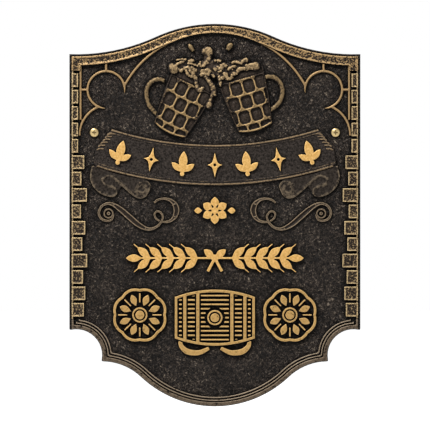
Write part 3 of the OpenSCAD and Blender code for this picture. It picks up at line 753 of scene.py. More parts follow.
@dataclass
class CastPlate:
    """The cast plate: a shaped outline, a pebbled front, eased edges and a hollow back."""

    name: str = "cast_plate"
    margin: float = 2.0
    cut_passes: int = 2
    cuts: int = 15
    pebble_size: float = 3.0
    pebble_layers: int = 2
    pebble_height: float = 0.8
    edge_ease: float = 0.7
    overshoot: float = 1.0
    smooth_to: float = 40.0

    def build(self) -> Piece:
        """Models the plate.

        Returns:
            The plate, in place.
        """
        front = -GROUND * MM
        body = node_copy("plate", "plate_body")
        shift_vertices(body, lambda vertex: vertex.co.y < front + ON_FACE, -self.overshoot)
        plate = modify(self._slab(), "BOOLEAN", object=body, operation="INTERSECT", solver="MANIFOLD")
        bpy.data.objects.remove(body)
        named(self.name)
        self._ease_edge(plate, front)
        group = plate.vertex_groups.new(name="pebbled")
        group.add([v.index for v in plate.data.vertices if v.co.y < front + ON_FACE], 1.0, "REPLACE")
        roughen(
            plate, "pebbles", self.pebble_size, self.pebble_layers, -self.pebble_height, vertex_group="pebbled",
            direction="Y",
        )
        bpy.ops.object.shade_smooth_by_angle(angle=math.radians(self.smooth_to))
        return plate

    def _slab(self) -> Piece:
        """Makes a block with a finely divided front, a little larger than the plate all round.

        Returns:
            The block.
        """
        low, high = (Vector(corner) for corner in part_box("plate"))
        middle, margin, front = (low + high) / 2, self.margin * MM, GROUND * MM
        size = high - low + Vector((2 * margin, 0, 2 * margin))
        slab = block("slab", (middle.x, (margin - front) / 2, middle.z), (size.x, front + margin, size.z))
        pick(slab, "FACE", lambda face: face.normal.y < -STEEP)
        for _ in range(self.cut_passes):
            bpy.ops.mesh.subdivide(number_cuts=self.cuts)
        bpy.ops.object.mode_set(mode="OBJECT")
        return slab

    def _ease_edge(self, plate: Piece, front: float) -> None:
        """Sets the front's outermost vertices back, so that the plate's edge is chamfered.

        Args:
            plate: The plate.
            front: Place of its front along Y.
        """
        vertices = plate.data.vertices
        walls = {i for face in plate.data.polygons if abs(face.normal.y) < STEEP for i in face.vertices}
        for index in walls:
            if vertices[index].co.y < front + ON_FACE:
                vertices[index].co.y += self.edge_ease * MM


@dataclass
class CastRelief:
    """One raised form of the casting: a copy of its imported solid, softened as sand casting softens an edge.

    Strokes of up to twice half_width get round tops, which stand at the share least of their height at the
    edge. Further than dip_from from an edge the top sinks, down to the depth dip.
    """

    node: str
    voxel: float = 0.42
    passes: int = 3
    soft: float = 0.5
    rough: float = 0.12
    rough_size: float = 1.6
    rough_layers: int = 1
    sunk: float = 1.2
    base: float = 0.0
    half_width: float = 0.0
    least: float = 0.45
    dip: float = 0.0
    dip_from: float = 0.8

    def build(self) -> Piece:
        """Models the form.

        Returns:
            The form, in place.
        """
        piece = node_copy(self.node, f"cast_{self.node}")
        self.sink(piece)
        remesh(piece, self.voxel)
        self.carve(piece)
        self.soften(piece)
        return piece

    def sink(self, piece: Piece) -> None:
        """Runs the form's foot into what carries it, so that no gap shows under its softened edge."""
        foot = -(GROUND + self.base + FOOT_TO) * MM
        shift_vertices(piece, lambda vertex: vertex.co.y > foot, self.sunk)

    def carve(self, piece: Piece) -> None:
        """Rounds the tops of the form's strokes and hollows their middles.

        Args:
            piece: The form.
        """
        if not (self.half_width or self.dip):
            return
        for vertex, distance in zip(piece.data.vertices, wall_distances(piece.data)):
            height = height_of(vertex.co)
            if height > RELIEF_FROM:
                share = half_round(distance, self.half_width, self.least) if self.half_width else 1.0
                raise_to(vertex, height * share - self.dip * clamped(distance / self.dip_from - 1))

    def soften(self, piece: Piece) -> None:
        """Rounds every edge and roughens the faces a little.

        Args:
            piece: The form.
        """
        modify(piece, "SMOOTH", factor=self.soft, iterations=self.passes)
        roughen(piece, f"grain_{self.node}", self.rough_size, self.rough_layers, self.rough)
        bpy.ops.object.shade_smooth()


@dataclass
class Ribbon(CastRelief):
    """The ribbon's face: hollow between its edge lines, swelling where it turns back at both shoulders."""

    edge_r: float = 345.0
    drop: float = 12.0
    width: float = 41.0
    hollow: float = 0.4
    shoulder_from: float = 94.0
    shoulder_to: float = 136.0
    swell: float = 0.4
    line_from: float = 1.2
    second_line: float = 4.0
    second_half: float = 0.55
    second_rise: float = 0.62
    second_fade: float = 0.6

    def carve(self, piece: Piece) -> None:
        """Hollows the face, draws its second line and swells the shoulders, below the edge lines and folds.

        Args:
            piece: The ribbon.
        """
        for vertex in piece.data.vertices:
            height = height_of(vertex.co)
            if not RELIEF_FROM < height < self.line_from:
                continue
            x, z = vertex.co.x / MM, vertex.co.z / MM
            across = clamped((math.hypot(x, z - self.edge_r + self.drop) - self.edge_r) / self.width)
            turned_back = clamped((abs(x) - self.shoulder_from) / (self.shoulder_to - self.shoulder_from))
            off_line = (min(across, 1 - across) * self.width - self.second_line) / self.second_half
            bulge = math.sin(math.pi * turned_back)
            height -= self.hollow * math.sin(math.pi * across)
            height += self.second_rise * (1 - self.second_fade * bulge) * math.exp(-(off_line ** 2))
            raise_to(vertex, height + self.swell * bulge)


@dataclass
class RibbonTail(CastRelief):
    """A ribbon's tail: cupped towards its edge lines, with a lumpy rolled end."""

    cup: float = 0.42
    cup_reach: float = 2.2
    roll_at: tuple[float, float] = (73.5, -57.0)
    roll_r: float = 10.0
    eye_r: float = 4.5
    roll_rise: float = 0.6
    line_from: float = 1.2

    def carve(self, piece: Piece) -> None:
        """Cups the flat parts towards the lines and raises the rolled end round its eye.

        Args:
            piece: The tail.
        """
        vertices = piece.data.vertices
        lines = [v.co.xz for v in vertices if height_of(v.co) > self.line_from]
        for vertex, distance in zip(vertices, plan_distances(piece.data, lines)):
            height = height_of(vertex.co)
            if RELIEF_FROM < height < self.line_from:
                away = math.hypot(abs(vertex.co.x) / MM - self.roll_at[0], vertex.co.z / MM - self.roll_at[1])
                end = math.sin(math.pi * min(away / self.roll_r, 1)) if away > self.eye_r else 0
                cupped = self.cup * math.exp(-((distance / self.cup_reach) ** 2))
                raise_to(vertex, height + max(cupped, self.roll_rise * end))


@dataclass
class Mug(CastRelief):
    """A dimpled glass mug in half relief.

    Its sides fall away from the middle as a barrel's do, its ridges are rounded, and each dimple has a small
    raised dot in its middle. The ridges fade towards the mouth, under the foam.
    """

    least: float = 0.25
    at: tuple[float, float] = (0, 0)
    lean: float = 0.0
    half_base: float = 18.9
    half_mouth: float = 25.5
    length: float = 64.0
    fall: float = 0.5
    floor: float = 1.3
    wall_rise: float = 0.4
    ridge: float = 1.1
    dot: float = 0.9
    dot_from: float = 3.2
    dot_to: float = 4.8
    band_from: float = 0.74
    rim_from: float = 0.69
    rim_over: float = 0.05
    rim_fade: float = 0.75

    def carve(self, piece: Piece) -> None:
        """Rounds the ridges, raises the dots and bends the whole mug like a barrel.

        Args:
            piece: The mug.
        """
        turn = math.radians(self.lean)
        along = Vector((-math.sin(turn), math.cos(turn)))
        across = Vector((math.cos(turn), math.sin(turn)))
        distances = wall_distances(piece.data, self.floor + self.wall_rise)
        for vertex, distance in zip(piece.data.vertices, distances):
            height = height_of(vertex.co)
            if height < RELIEF_FROM:
                continue
            flat = Vector((vertex.co.x, vertex.co.z)) / MM - Vector(self.at)
            share = clamped(flat.dot(along) / self.length)
            if height > self.floor + RELIEF_FROM:
                height = self.floor + (height - self.floor) * half_round(distance, self.ridge, self.least)
                height -= self.rim_fade * clamped((share - self.rim_from) / self.rim_over)
            elif share < self.band_from:
                height += self.dot * clamped((distance - self.dot_from) / (self.dot_to - self.dot_from))
            half = self.half_base + (self.half_mouth - self.half_base) * share
            side = min(abs(flat.dot(across)) / half, 1)
            raise_to(vertex, height * (1 - self.fall * (1 - math.sqrt(1 - side * side))))


# Curls and lumps of foam: each a path of x, z and radius, in millimetres
FOAM_CURLS = (
    ((-43, 66, 2.6), (-41.4, 63.8, 3.2), (-40.4, 61.8, 2.4)),
    ((-39, 66.8, 1.2), (-37, 68.8, 1.3), (-34.4, 70, 1.0), (-31.8, 70.9, 1.3)),
    ((-38, 72.4, 0.7), (-33, 73.2, 0.8), (-29.2, 72.8, 0.8)),
    ((-25.2, 71.3, 1.5), (-22.4, 71.4, 1.7)),
    ((-26.6, 69, 0.9), (-23, 68.6, 0.9), (-19.6, 67.4, 1.0)),
    ((-34.8, 61.6, 1.1), (-32.6, 62.6, 1.4)),
    ((-29.4, 64.2, 1.6), (-27, 65.2, 1.5), (-23.6, 64.6, 1.6), (-21, 62.8, 1.9), (-19, 62.2, 1.5)),
    ((-28.8, 63, 1.3), (-28, 60, 1.2), (-26.2, 57.4, 1.2), (-23.8, 56, 1.1), (-20.6, 56.4, 1.3), (-19.4, 54.6, 1.4)),
    ((-24.6, 61.6, 1.7), (-22.2, 59.6, 2.0), (-21.2, 57.4, 1.5)),
    ((-12.6, 61, 1.7), (-10.2, 61.4, 1.9), (-7.4, 62.4, 1.8), (-5.6, 61, 1.6)),
    ((-13.6, 57.6, 1.3), (-11, 58.8, 1.5), (-8, 58.6, 1.7), (-6.2, 58, 1.2)),
    ((-17.4, 66.6, 0.9), (-15.2, 68.6, 1.0), (-14, 66.2, 1.0), (-11, 66.6, 1.2)),
    ((-9.8, 81, 2.6), (-7.8, 82.2, 2.6), (-5.2, 81.2, 2.4), (-3.8, 79.4, 1.6)),
    ((0, 71.8, 0.9), (2.6, 72, 1.1), (5.4, 71.4, 1.0)),
    ((0.6, 63.6, 1.8), (2.8, 64.4, 2.0), (5, 64, 1.6), (7.4, 65.2, 1.5)),
    ((6.6, 66.6, 1.5), (9, 67.4, 1.9), (11, 66.6, 1.3)),
    ((13.4, 63.2, 1.1), (15.2, 64.4, 1.1), (17.8, 65.8, 1.1), (20.2, 66.2, 1.2)),
    ((9, 59, 1.4), (10.8, 58, 1.9), (11.8, 55.6, 1.5), (13.2, 53.8, 1.2), (15.2, 53.4, 1.2), (16.4, 55.2, 1.1),
     (17, 57.6, 1.3), (19.2, 58.6, 1.6), (21.4, 59, 1.2)),
    ((17.4, 69.6, 1.1), (20.2, 70.6, 1.3), (23.4, 70, 1.0), (26.2, 68.8, 1.1)),
    ((27.2, 70.8, 1.2), (29.6, 72.4, 1.5), (31.4, 73, 1.3), (32, 71, 1.0)),
    ((22.6, 61.4, 1.5), (24.2, 63.4, 1.7), (27.6, 64, 1.4), (31, 64, 1.5), (34.6, 65, 1.6), (37.4, 64.6, 1.7)),
    ((31.4, 67, 1.1), (34.4, 67, 1.3), (37.2, 67.6, 1.8), (39.8, 67.4, 2.4), (41.4, 66, 2.6), (40.2, 65, 2.2)),
    ((5.8, 54.6, 1.1), (8, 54.8, 1.3)),
    ((-2.6, 57.4, 1.0), (-1, 56, 1.1)),
    ((3.6, 60.8, 0.9), (6, 61.4, 1.0)),
)
# Stalk and drips, which stand lower than the curls
FOAM_STRANDS = (
    ((-6.6, 79, 2.2), (-6.2, 76, 1.9), (-6.6, 72.6, 1.9), (-8.6, 69.6, 2.0), (-11.4, 67.6, 1.8)),
    ((-18.8, 53, 1.6), (-18.6, 49, 1.4), (-17.8, 45.4, 1.7), (-16, 42.8, 2.0), (-13.6, 43, 1.7), (-11.8, 44.6, 1.1)),
    ((-9.4, 56, 1.6), (-7.6, 53.4, 1.4), (-5.2, 50.4, 1.4), (-3, 47, 1.7), (-1.6, 43.8, 2.3), (-1, 40.4, 1.6)),
    ((-1.2, 39.6, 1.4), (-3.4, 36.4, 1.2), (-4.4, 33, 1.3), (-5.2, 29.6, 1.5), (-6, 27, 2.2)),
    ((4.6, 55.4, 1.4), (5.4, 51, 1.1), (5.6, 47.2, 1.2)),
)


@dataclass
class Foam(CastRelief):
    """Foam that spills from both mugs: curls and lumps over a darker, sagging heap, with drips."""

    least: float = 0.2
    top: float = 4.25
    strand_top: float = 3.75
    top_range: float = 0.5
    plump: float = 1.56
    uneven: float = 0.16
    step: float = 0.7
    foot: float = -0.5
    heap: float = 3.6
    heap_edge: float = 2.0
    heap_near: float = 0.1
    sag: float = 1.9
    sag_kept: float = 0.2
    crumbs: int = 70
    crumb_r: tuple[float, float] = (1.0, 1.6)
    crumb_top: float = 3.0
    crumb_range: tuple[float, float] = (-0.4, 0.6)
    seed: int = 7

    def build(self) -> Piece:
        """Models the foam.

        Returns:
            The foam, in place.
        """
        heap = node_copy(self.node, f"cast_{self.node}")
        self.sink(heap)
        for vertex in heap.data.vertices:
            if height_of(vertex.co) > self.heap:
                raise_to(vertex, self.heap)
        remesh(heap, self.voxel)
        self.carve(heap)
        piece = joined([heap] + self._lumps(), f"cast_{self.node}")
        remesh(piece, self.voxel)
        self.soften(piece)
        return piece

    def carve(self, piece: Piece) -> None:
        """Rounds the heap's edge and lets its middle sag.

        Args:
            piece: The heap.
        """
        for vertex, distance in zip(piece.data.vertices, wall_distances(piece.data)):
            height = height_of(vertex.co)
            if height > RELIEF_FROM:
                rounded = (height - self.sag) * half_round(distance, self.heap_edge, self.least)
                raise_to(vertex, rounded + self.sag * min(distance / self.heap_edge, 1) * self.sag_kept)

    def _lumps(self) -> list[Piece]:
        """Strings uneven balls along every curl and strand.

        Returns:
            The balls, each reaching down into the heap.
        """
        rng = random.Random(self.seed)
        bpy.ops.object.select_all(action="DESELECT")
        bpy.ops.mesh.primitive_ico_sphere_add(subdivisions=2, radius=1)
        ball = named("lump")
        places = []
        for paths, crest in ((FOAM_CURLS, self.top), (FOAM_STRANDS, self.strand_top)):
            for path in paths:
                for x, z, r in self._along(path):
                    size = r * self.plump * rng.uniform(1 - self.uneven, 1 + self.uneven)
                    places.append((x, z, size, crest - rng.uniform(0, self.top_range)))
        made = []
        for x, z, r, top in places + self._crumbs(rng):
            lump = bpy.data.objects.new("lump", ball.data.copy())
            bpy.context.scene.collection.objects.link(lump)
            lump.matrix_world = (
                Matrix.Translation((x * MM, -(GROUND + (top + self.foot) / 2) * MM, z * MM))
                @ Matrix.Diagonal((r * MM, (top - self.foot) / 2 * MM, r * MM, 1))
            )
            made.append(bake_place(lump))
        bpy.data.objects.remove(ball)
        return made

    def _crumbs(self, rng: random.Random) -> list[Numbers]:
        """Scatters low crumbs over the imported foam.

        Args:
            rng: Source of random numbers.

        Returns:
            The crumbs, as x, z, radius and height.
        """
        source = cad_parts[self.node]
        low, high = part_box(self.node)
        in_front, inwards = 2 * low[1], Vector((0, 1, 0))
        crumbs = []
        while len(crumbs) < self.crumbs:
            x, z = rng.uniform(low[0], high[0]), rng.uniform(low[2], high[2])
            hit, place, _, _ = source.ray_cast(Vector((x, in_front, z)), inwards)
            if hit and height_of(place) > self.heap - self.heap_near:
                size, rise = rng.uniform(*self.crumb_r), rng.uniform(*self.crumb_range)
                crumbs.append((x / MM, z / MM, size, self.crumb_top + rise))
        return crumbs

    def _along(self, path: tuple[Numbers, ...]) -> list[Numbers]:
        """Steps along a path, a share of its radius at a time.

        Args:
            path: Points as x, z and radius.

        Returns:
            The places of the balls, as x, z and radius.
        """
        places = []
        for start, end in zip(path, path[1:]):
            length = math.hypot(end[0] - start[0], end[1] - start[1])
            count = max(round(length / (self.step * (start[2] + end[2]) / 2)), 1)
            for i in range(count):
                share = i / count
                places.append(tuple(a + (b - a) * share for a, b in zip(start, end)))
        return places + [path[-1]]


@dataclass
class Casting:
    """The whole casting: the plate and every raised form on it, with their paint."""

    ground: PebbledPaint = PebbledPaint("pebbled_dark_bronze_paint", Slot.DARK)
    ribbon: RubbedPaint = RubbedPaint(
        "ribbon_dark_bronze_paint", Slot.DARK, gold="62523f", pale_gold="9c8464", paint="403934", hollow="110e0c",
        rub_from=0.95, rub_to=1.75, face_wear=0.75, edge_wear=0.5, speck=0.55, speck_size=1.8, grain=1.8,
    )
    tail: RubbedPaint = RubbedPaint(
        "tail_dark_bronze_paint", Slot.DARK, gold="50463a", pale_gold="84745e", paint="3a332d", hollow="171310",
        rub_from=0.9, rub_to=2.0, face_wear=0.85, edge_wear=0.5, speck=0.5, speck_size=2.2, grain=1.2,
    )
    border: RubbedPaint = RubbedPaint(
        "border_rubbed_gold_paint", Slot.RUBBED, gold="7e6748", pale_gold="e8cc9a", rub_from=1.5, rub_to=2.5,
        face_wear=0.85, edge_wear=0.6, speck=1.9, speck_size=1.6,
    )
    band: RubbedPaint = RubbedPaint(
        "band_rubbed_gold_paint", Slot.RUBBED, gold="9a7e56", pale_gold="c6a476", rub_from=1.7, rub_to=2.8,
        face_wear=0.95, edge_wear=0.5, speck=2.9, speck_size=1.5,
    )
    lines: RubbedPaint = RubbedPaint(
        "fine_line_rubbed_gold_paint", Slot.RUBBED, gold="80684a", pale_gold="ac8d62", rub_from=0.6, rub_to=1.6,
        face_wear=0.8, speck=0.5,
    )
    moulding: RubbedPaint = RubbedPaint(
        "moulding_rubbed_gold_paint", Slot.RUBBED, gold="483c30", pale_gold="90806c", rub_from=0.3, rub_to=1.5,
        face_wear=0.75, edge_wear=0.6, speck=1.1, speck_size=2.4, patchy=0.3, crevice=2.0, dirt_and_shade_from=0.35,
    )
    scroll: RubbedPaint = RubbedPaint(
        "scroll_rubbed_gold_paint", Slot.RUBBED, gold="4a4034", pale_gold="aa9478", rub_from=0.95, rub_to=1.45,
        face_wear=0.68, edge_wear=0.9, speck=0.5,
    )
    tube: RubbedPaint = RubbedPaint(
        "handle_rubbed_gold_paint", Slot.RUBBED, gold="4a3c2a", pale_gold="917a57", paint="4c4138", rub_from=1.0,
        rub_to=3.1, face_wear=0.85, speck=0.9, speck_size=2.0, grain=0.4, tone=0.6,
    )
    glass: RubbedPaint = RubbedPaint(
        "mug_rubbed_gold_paint", Slot.RUBBED, gold="675437", pale_gold="b6976a", paint="463c34", rub_from=1.9,
        rub_to=3.7, face_wear=0.9, speck=0.8, dirt_and_shade_from=0.75,
    )
    froth: RubbedPaint = RubbedPaint(
        "foam_rubbed_gold_paint", Slot.BRIGHT, gold="544531", pale_gold="b0956e", paint="4a3f36", rub_from=2.4,
        rub_to=3.9, face_wear=0.9, speck=0.7, speck_size=2.2, cloud_size=4.0, patchy=0.4, tone=0.9,
        dirt_and_shade_from=0.76,
    )
    ornament: RubbedPaint = RubbedPaint(
        "ornament_bright_gold_paint", Slot.BRIGHT, gold="c2944f", pale_gold="e8bd78", rub_from=0.9, rub_to=1.7,
        face_wear=1.15, edge_wear=0.2, speck=0.5, speck_size=2.2, grain=0.4, tone=0.75,
    )
    carved: RubbedPaint = RubbedPaint(
        "carved_gold_paint", Slot.BRIGHT, gold="aa864f", pale_gold="d6b074", rub_from=0.9, rub_to=1.9,
        face_wear=0.9, edge_wear=0.3, speck=0.9, speck_size=1.8, grain=0.4, tone=0.4,
    )

    def build(self) -> None:
        """Builds, paints and places every form of the casting."""
        dress(CastPlate().build(), self.ground.build(), ROOT_BODY, "plate")
        forms = [
            (CastRelief("top_band", dip=0.28, dip_from=0.55), self.band),
            *((CastRelief(f"{side}_tracery", half_width=1.2), self.lines) for side in SIDES),
            *((CastRelief(f"{side}_{row}_blocks", dip=0.25, dip_from=0.7), self.border)
              for row in ("upper", "lower") for side in SIDES),
            (CastRelief("bottom_moulding", half_width=1.7, least=0.7, passes=1), self.moulding),
            (Ribbon("ribbon_banner", voxel=0.5, passes=1), self.ribbon),
            *((RibbonTail(f"{side}_ribbon_tail", passes=5, rough=0.3, rough_size=2.6), self.tail)
              for side in SIDES),
            *((CastRelief(f"{side}_flourish", voxel=0.3, passes=1, dip=0.5), self.scroll) for side in SIDES),
            (Mug("left_mug", at=(-45.1, 2.4), lean=-26), self.glass),
            (Mug("right_mug", at=(40.7, 4.9), lean=16), self.glass),
            *((CastRelief(f"{side}_mug_handle", half_width=2.2, least=0.3), self.tube) for side in SIDES),
            (Foam("foam", voxel=0.36, passes=2, rough=0.5, rough_size=2.4), self.froth),
            (CastRelief("foam_drops", passes=10, half_width=2.4, least=0.5), self.tube),
            (CastRelief("ribbon_ornaments", base=0.9, passes=2), self.ornament),
            *((CastRelief(node, passes=2), self.ornament) for node in ("centre_rosette", "barley_ears")),
            *((CastRelief(node, passes=2, rough=0.06), self.carved)
              for node in ("cask_ornament", "left_medallion", "right_medallion")),
        ]
        built: dict[str, Material] = {}
        for form, paint in forms:
            if paint.name not in built:
                built[paint.name] = paint.build()
            dress(form.build(), built[paint.name], ROOT_BODY, form.node)


# Fixings

# Sharpest edge that stays smooth, and bluntest edge that is bevelled, in degrees
SMOOTH_TO, BEVEL_FROM = 35, 50


def seated(piece: Piece, node: str, name: str) -> Piece:
    """Names a fixing that was drawn about the Y axis and moves it into its hole.

    Args:
        piece: The fixing.
        node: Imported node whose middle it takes.
        name: Name of the finished piece.

    Returns:
        The same piece, in place.
    """
    low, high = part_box(node)
    piece.location = ((low[0] + high[0]) / 2, 0, (low[2] + high[2]) / 2)
    bake_place(piece)
    bpy.ops.object.shade_smooth_by_angle(angle=math.radians(SMOOTH_TO))
    return named(name)


def bevelled(piece: Piece, width: float, segments: int) -> None:
    """Bevels a fixing's sharp edges by a width in millimetres."""
    limit = math.radians(BEVEL_FROM)
    modify(piece, "BEVEL", width=width * MM, segments=segments, limit_method="ANGLE", angle_limit=limit)


@dataclass
class WoodScrew:
    """A round-headed brass wood screw with a cross recess and a cut thread, seated on the plate."""

    side: str
    head_r: float = 4.5
    head_h: float = 2.6
    head_points: int = 48
    head_bevel: float = 0.12
    edge_h: float = 0.78
    edge_share: float = 0.75
    rings: int = 7
    crown_gap: float = 0.6
    slot_l: float = 5.0
    slot_w: float = 1.1
    slot_d: float = 1.4
    slot_over: float = 0.4
    slot_taper: float = 0.5
    core_points: int = 32
    core_r: float = 1.65
    core_from: float = 2.2
    core_sunk: float = 0.2
    neck_r: float = 2.115
    neck_to: float = 1.0
    tip_r: float = 0.2
    tip_gap: float = 0.1
    thread_r: float = 2.32
    thread_half: float = 0.62
    thread_from: float = 1.5
    thread_sunk: float = 0.2
    thread_points: int = 28
    pitch: float = 2.1
    shank_l: float = 38.0
    point_l: float = 6.0
    voxel: float = 0.16
    soft: float = 0.4
    passes: int = 2

    def build(self) -> Piece:
        """Models the screw.

        Returns:
            The screw, in place.
        """
        screw = joined([self._head(), self._shank()], "screw")
        return seated(screw, f"{self.side}_screw", f"brass_{self.side}_screw")

    def _head(self) -> Piece:
        """Raises the domed head ring by ring and cuts its cross recess.

        Returns:
            The head.
        """
        rings = [(self.head_r, -GROUND), (self.head_r, -(GROUND + self.edge_h * self.edge_share))]
        rise = self.head_h - self.edge_h
        for step in range(1, self.rings + 1):
            turn = math.pi / 2 * step / (self.rings + self.crown_gap)
            rings.append((self.head_r * math.cos(turn), -(GROUND + self.edge_h + rise * math.sin(turn))))
        head = turned("screw_head", self.head_points, rings)
        middle = -(GROUND + self.head_h - self.slot_d / 2) * MM
        size = (self.slot_l * MM, (self.slot_d + 2 * self.slot_over) * MM, self.slot_w * MM)
        narrower = (self.slot_taper, 1, self.slot_taper)
        for turn in (0, math.pi / 2):
            cutter = block("cross_cutter", (0, middle, 0), size, turn)
            # The recess narrows towards its bottom
            pick(cutter, "VERT", lambda vertex: vertex.co.y > middle)
            bpy.ops.transform.resize(value=narrower, center_override=(0, middle, 0))
            bpy.ops.object.mode_set(mode="OBJECT")
            cut(head, cutter)
        bevelled(head, self.head_bevel, 2)
        return head

    def _shank(self) -> Piece:
        """Draws the shank with its point and winds the thread round it.

        Returns:
            The shank.
        """
        end = self.shank_l - GROUND
        core = turned("screw_core", self.core_points, [
            (self.neck_r, -GROUND - self.core_sunk), (self.neck_r, self.neck_to), (self.core_r, self.core_from),
            (self.core_r, end - self.point_l), (self.tip_r, end - self.tip_gap),
        ])
        thread = self._thread(int((end - self.point_l - self.neck_to) / self.pitch))
        shank = joined([core, thread], "screw_shank")
        remesh(shank, self.voxel)
        modify(shank, "SMOOTH", factor=self.soft, iterations=self.passes)
        return shank

    def _thread(self, turns: int) -> Piece:
        """Winds a triangular ridge round the shank.

        Args:
            turns: Number of full turns.

        Returns:
            The ridge.
        """
        bpy.ops.object.select_all(action="DESELECT")
        bpy.ops.mesh.primitive_circle_add(vertices=3, radius=self.thread_half * MM, fill_type="NOTHING")
        ridge = named("screw_thread")
        root, steps = self.core_r - self.thread_sunk, self.thread_points * turns
        points = ((root, -self.thread_half), (self.thread_r, 0.0), (root, self.thread_half))
        for vertex, (radius, rise) in zip(ridge.data.vertices, points):
            vertex.co = Vector((radius, 0, self.thread_from + rise)) * MM
        modify(
            ridge, "SCREW", axis="Z", angle=2 * math.pi * turns, screw_offset=self.pitch * turns * MM,
            steps=steps, render_steps=steps, use_merge_vertices=False,
        )
        bpy.ops.object.mode_set(mode="EDIT")
        bpy.ops.mesh.select_all(action="SELECT")
        bpy.ops.mesh.fill_holes(sides=3)
        bpy.ops.mesh.normals_make_consistent(inside=False)
        bpy.ops.object.mode_set(mode="OBJECT")
        ridge.rotation_euler = (-math.pi / 2, 0, 0)
        return bake_place(ridge)


@dataclass
class WallPlug:
    """A nylon wall plug: a ribbed sleeve with a plain collar, a bore and a slit that lets it spread."""

    side: str
    outer_r: float = 3.5
    groove_r: float = 3.05
    bore_r: float = 2.42
    length: float = 36.0
    collar: float = 4.0
    rib: float = 1.6
    rib_slope: float = 0.2
    tip_l: float = 1.0
    slit: float = 1.0
    bevel: float = 0.1
    overshoot: float = 2.0
    points: int = 40

    def build(self) -> Piece:
        """Models the plug.

        Returns:
            The plug, in place.
        """
        rings = [(self.outer_r, 0.0), (self.outer_r, self.collar)]
        at = self.collar
        while at + 2 * self.rib < self.length - self.tip_l:
            rings += [(self.groove_r, at + self.rib_slope), (self.groove_r, at + self.rib)]
            at += 2 * self.rib
            rings.append((self.outer_r, at))
        plug = turned("plug", self.points, rings + [(self.groove_r, self.length)])
        cut(plug, self._bore())
        # The slit runs through the far half and out of its end
        start, end = self.length / 2, self.length + self.overshoot
        size = (self.slit * MM, (end - start) * MM, (2 * self.outer_r + self.overshoot) * MM)
        cut(plug, block("slit_cutter", (0, (start + end) / 2 * MM, 0), size))
        bevelled(plug, self.bevel, 1)
        return seated(plug, f"{self.side}_wall_plug", f"nylon_{self.side}_wall_plug")

    def _bore(self) -> Piece:
        """Makes the cutter for the bore.

        Returns:
            The cutter.
        """
        bpy.ops.object.select_all(action="DESELECT")
        bpy.ops.mesh.primitive_cylinder_add(
            vertices=self.points, radius=self.bore_r * MM, depth=(self.length + 2 * self.overshoot) * MM,
            location=(0, self.length / 2 * MM, 0), rotation=(math.pi / 2, 0, 0),
        )
        return bake_place(named("bore_cutter"))


@dataclass
class Fixings:
    """Both screws and both wall plugs."""

    brass: TurnedBrass = TurnedBrass("turned_brass", Slot.SCREW)
    nylon: MouldedNylon = MouldedNylon("moulded_nylon", Slot.PLUG)

    def build(self) -> None:
        """Builds and places the screws and plugs."""
        brass = self.brass.build()
        nylon = self.nylon.build()
        for side in SIDES:
            screw, plug = f"{side}_screw", f"{side}_wall_plug"
            dress(WoodScrew(side).build(), brass, screw, screw)
            dress(WallPlug(side).build(), nylon, ROOT_BODY, plug)


# Camera, light and floor

def background_rays(add: AddNode) -> Socket:
    """Tells the rays that show the background, to the eye or in metal and glass, from those that light.

    Args:
        add: Adds a node to the tree.

    Returns:
        1 for a ray that shows the background, and otherwise 0.
    """
    rays = add("ShaderNodeLightPath").outputs
    shown = rays["Is Camera Ray"]
    for kind in ("Is Glossy Ray", "Is Transmission Ray"):
        shown = add("ShaderNodeMath", {0: shown, 1: rays[kind]}, operation="MAXIMUM").outputs[0]
    return shown


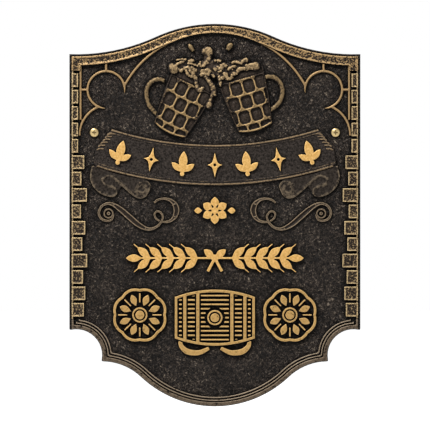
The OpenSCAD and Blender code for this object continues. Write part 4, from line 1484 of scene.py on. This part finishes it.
@dataclass
class Studio:
    """A plain white studio: a level camera square to the front, soft lights and a pale floor."""

    frame_width: float = 430.0
    distance: float = 2600.0
    sensor: float = 36.0
    centre_x: float = 0.12
    centre_z: float = -82.4
    floor_z: float = -400.0
    floor_r: float = 6000.0
    floor_grey: float = 0.62
    floor_glow: float = 0.95
    world_light: float = 0.16

    def build(self) -> None:
        """Builds the camera, the lights, the world and the floor."""
        self._camera()
        self._lights()
        self._world()
        self._floor()
        bpy.context.scene.view_settings.view_transform = "Standard"

    def _camera(self) -> None:
        """Sets the camera where a pixel of the frame is one millimetre of the plaque."""
        data = bpy.data.cameras.new("camera")
        data.sensor_width = self.sensor
        data.lens = self.sensor * self.distance / self.frame_width
        data.clip_end = 50
        camera = bpy.data.objects.new("camera", data)
        camera.location = (self.centre_x * MM, -(self.distance + GROUND) * MM, self.centre_z * MM)
        camera.rotation_euler = (math.pi / 2, 0, 0)
        bpy.context.scene.collection.objects.link(camera)
        bpy.context.scene.camera = camera

    def _lights(self) -> None:
        """Hangs soft lights above the front, on each side and behind, by place, size and power."""
        target = Vector((0, 0, self.centre_z * MM))
        for name, place, size, power in (
            ("top_softbox", (-0.55, -0.8, 1.35), 0.36, 44.0),
            ("left_softbox", (-1.5, -1.3, -0.1), 1.0, 2.5),
            ("right_softbox", (1.5, -1.5, 0.2), 1.0, 2.0),
            ("back_softbox", (0.6, 1.8, 0.9), 1.2, 14.0),
        ):
            data = bpy.data.lights.new(name, "AREA")
            data.size = size
            data.energy = power
            lamp = bpy.data.objects.new(name, data)
            lamp.location = place
            lamp.rotation_euler = (target - Vector(place)).to_track_quat("-Z", "Y").to_euler()
            bpy.context.scene.collection.objects.link(lamp)

    def _world(self) -> None:
        """Makes the surroundings white to the eye and in reflections, and a weaker light on surfaces."""
        world = bpy.data.worlds.new("white_studio")
        bpy.context.scene.world = world
        world.use_nodes = True
        world.node_tree.nodes.clear()
        add = partial(add_node, world.node_tree)
        strength = add("ShaderNodeMapRange", {
            "Value": background_rays(add), "To Min": self.world_light, "To Max": 1.0,
        }).outputs["Result"]
        light = add("ShaderNodeBackground", {"Color": (1, 1, 1, 1), "Strength": strength}).outputs[0]
        add("ShaderNodeOutputWorld", {"Surface": light})

    def _floor(self) -> None:
        """Lays a white floor well below the plaque, which keeps a soft shadow."""
        bpy.ops.object.select_all(action="DESELECT")
        bpy.ops.mesh.primitive_circle_add(
            vertices=64, radius=self.floor_r * MM, fill_type="NGON", location=(0, 0, self.floor_z * MM),
        )
        floor = bake_place(named("studio_floor"))
        material, add = start_material("white_floor")
        grey = (self.floor_grey, self.floor_grey, self.floor_grey, 1)
        matt = add("ShaderNodeBsdfDiffuse", {"Color": grey}).outputs[0]
        strength = add("ShaderNodeMath", {
            0: background_rays(add), 1: self.floor_glow,
        }, operation="MULTIPLY").outputs[0]
        glow = add("ShaderNodeEmission", {"Strength": strength}).outputs[0]
        both = add("ShaderNodeAddShader", {0: matt, 1: glow}).outputs[0]
        add("ShaderNodeOutputMaterial", {"Surface": both})
        floor.data.materials.append(material)


def main() -> None:
    """Builds the plaque, its fixings and the studio."""
    logging.basicConfig(level=logging.INFO, format="%(name)s: %(message)s")
    Casting().build()
    Fixings().build()
    Studio().build()


if __name__ == "__main__":
    main()
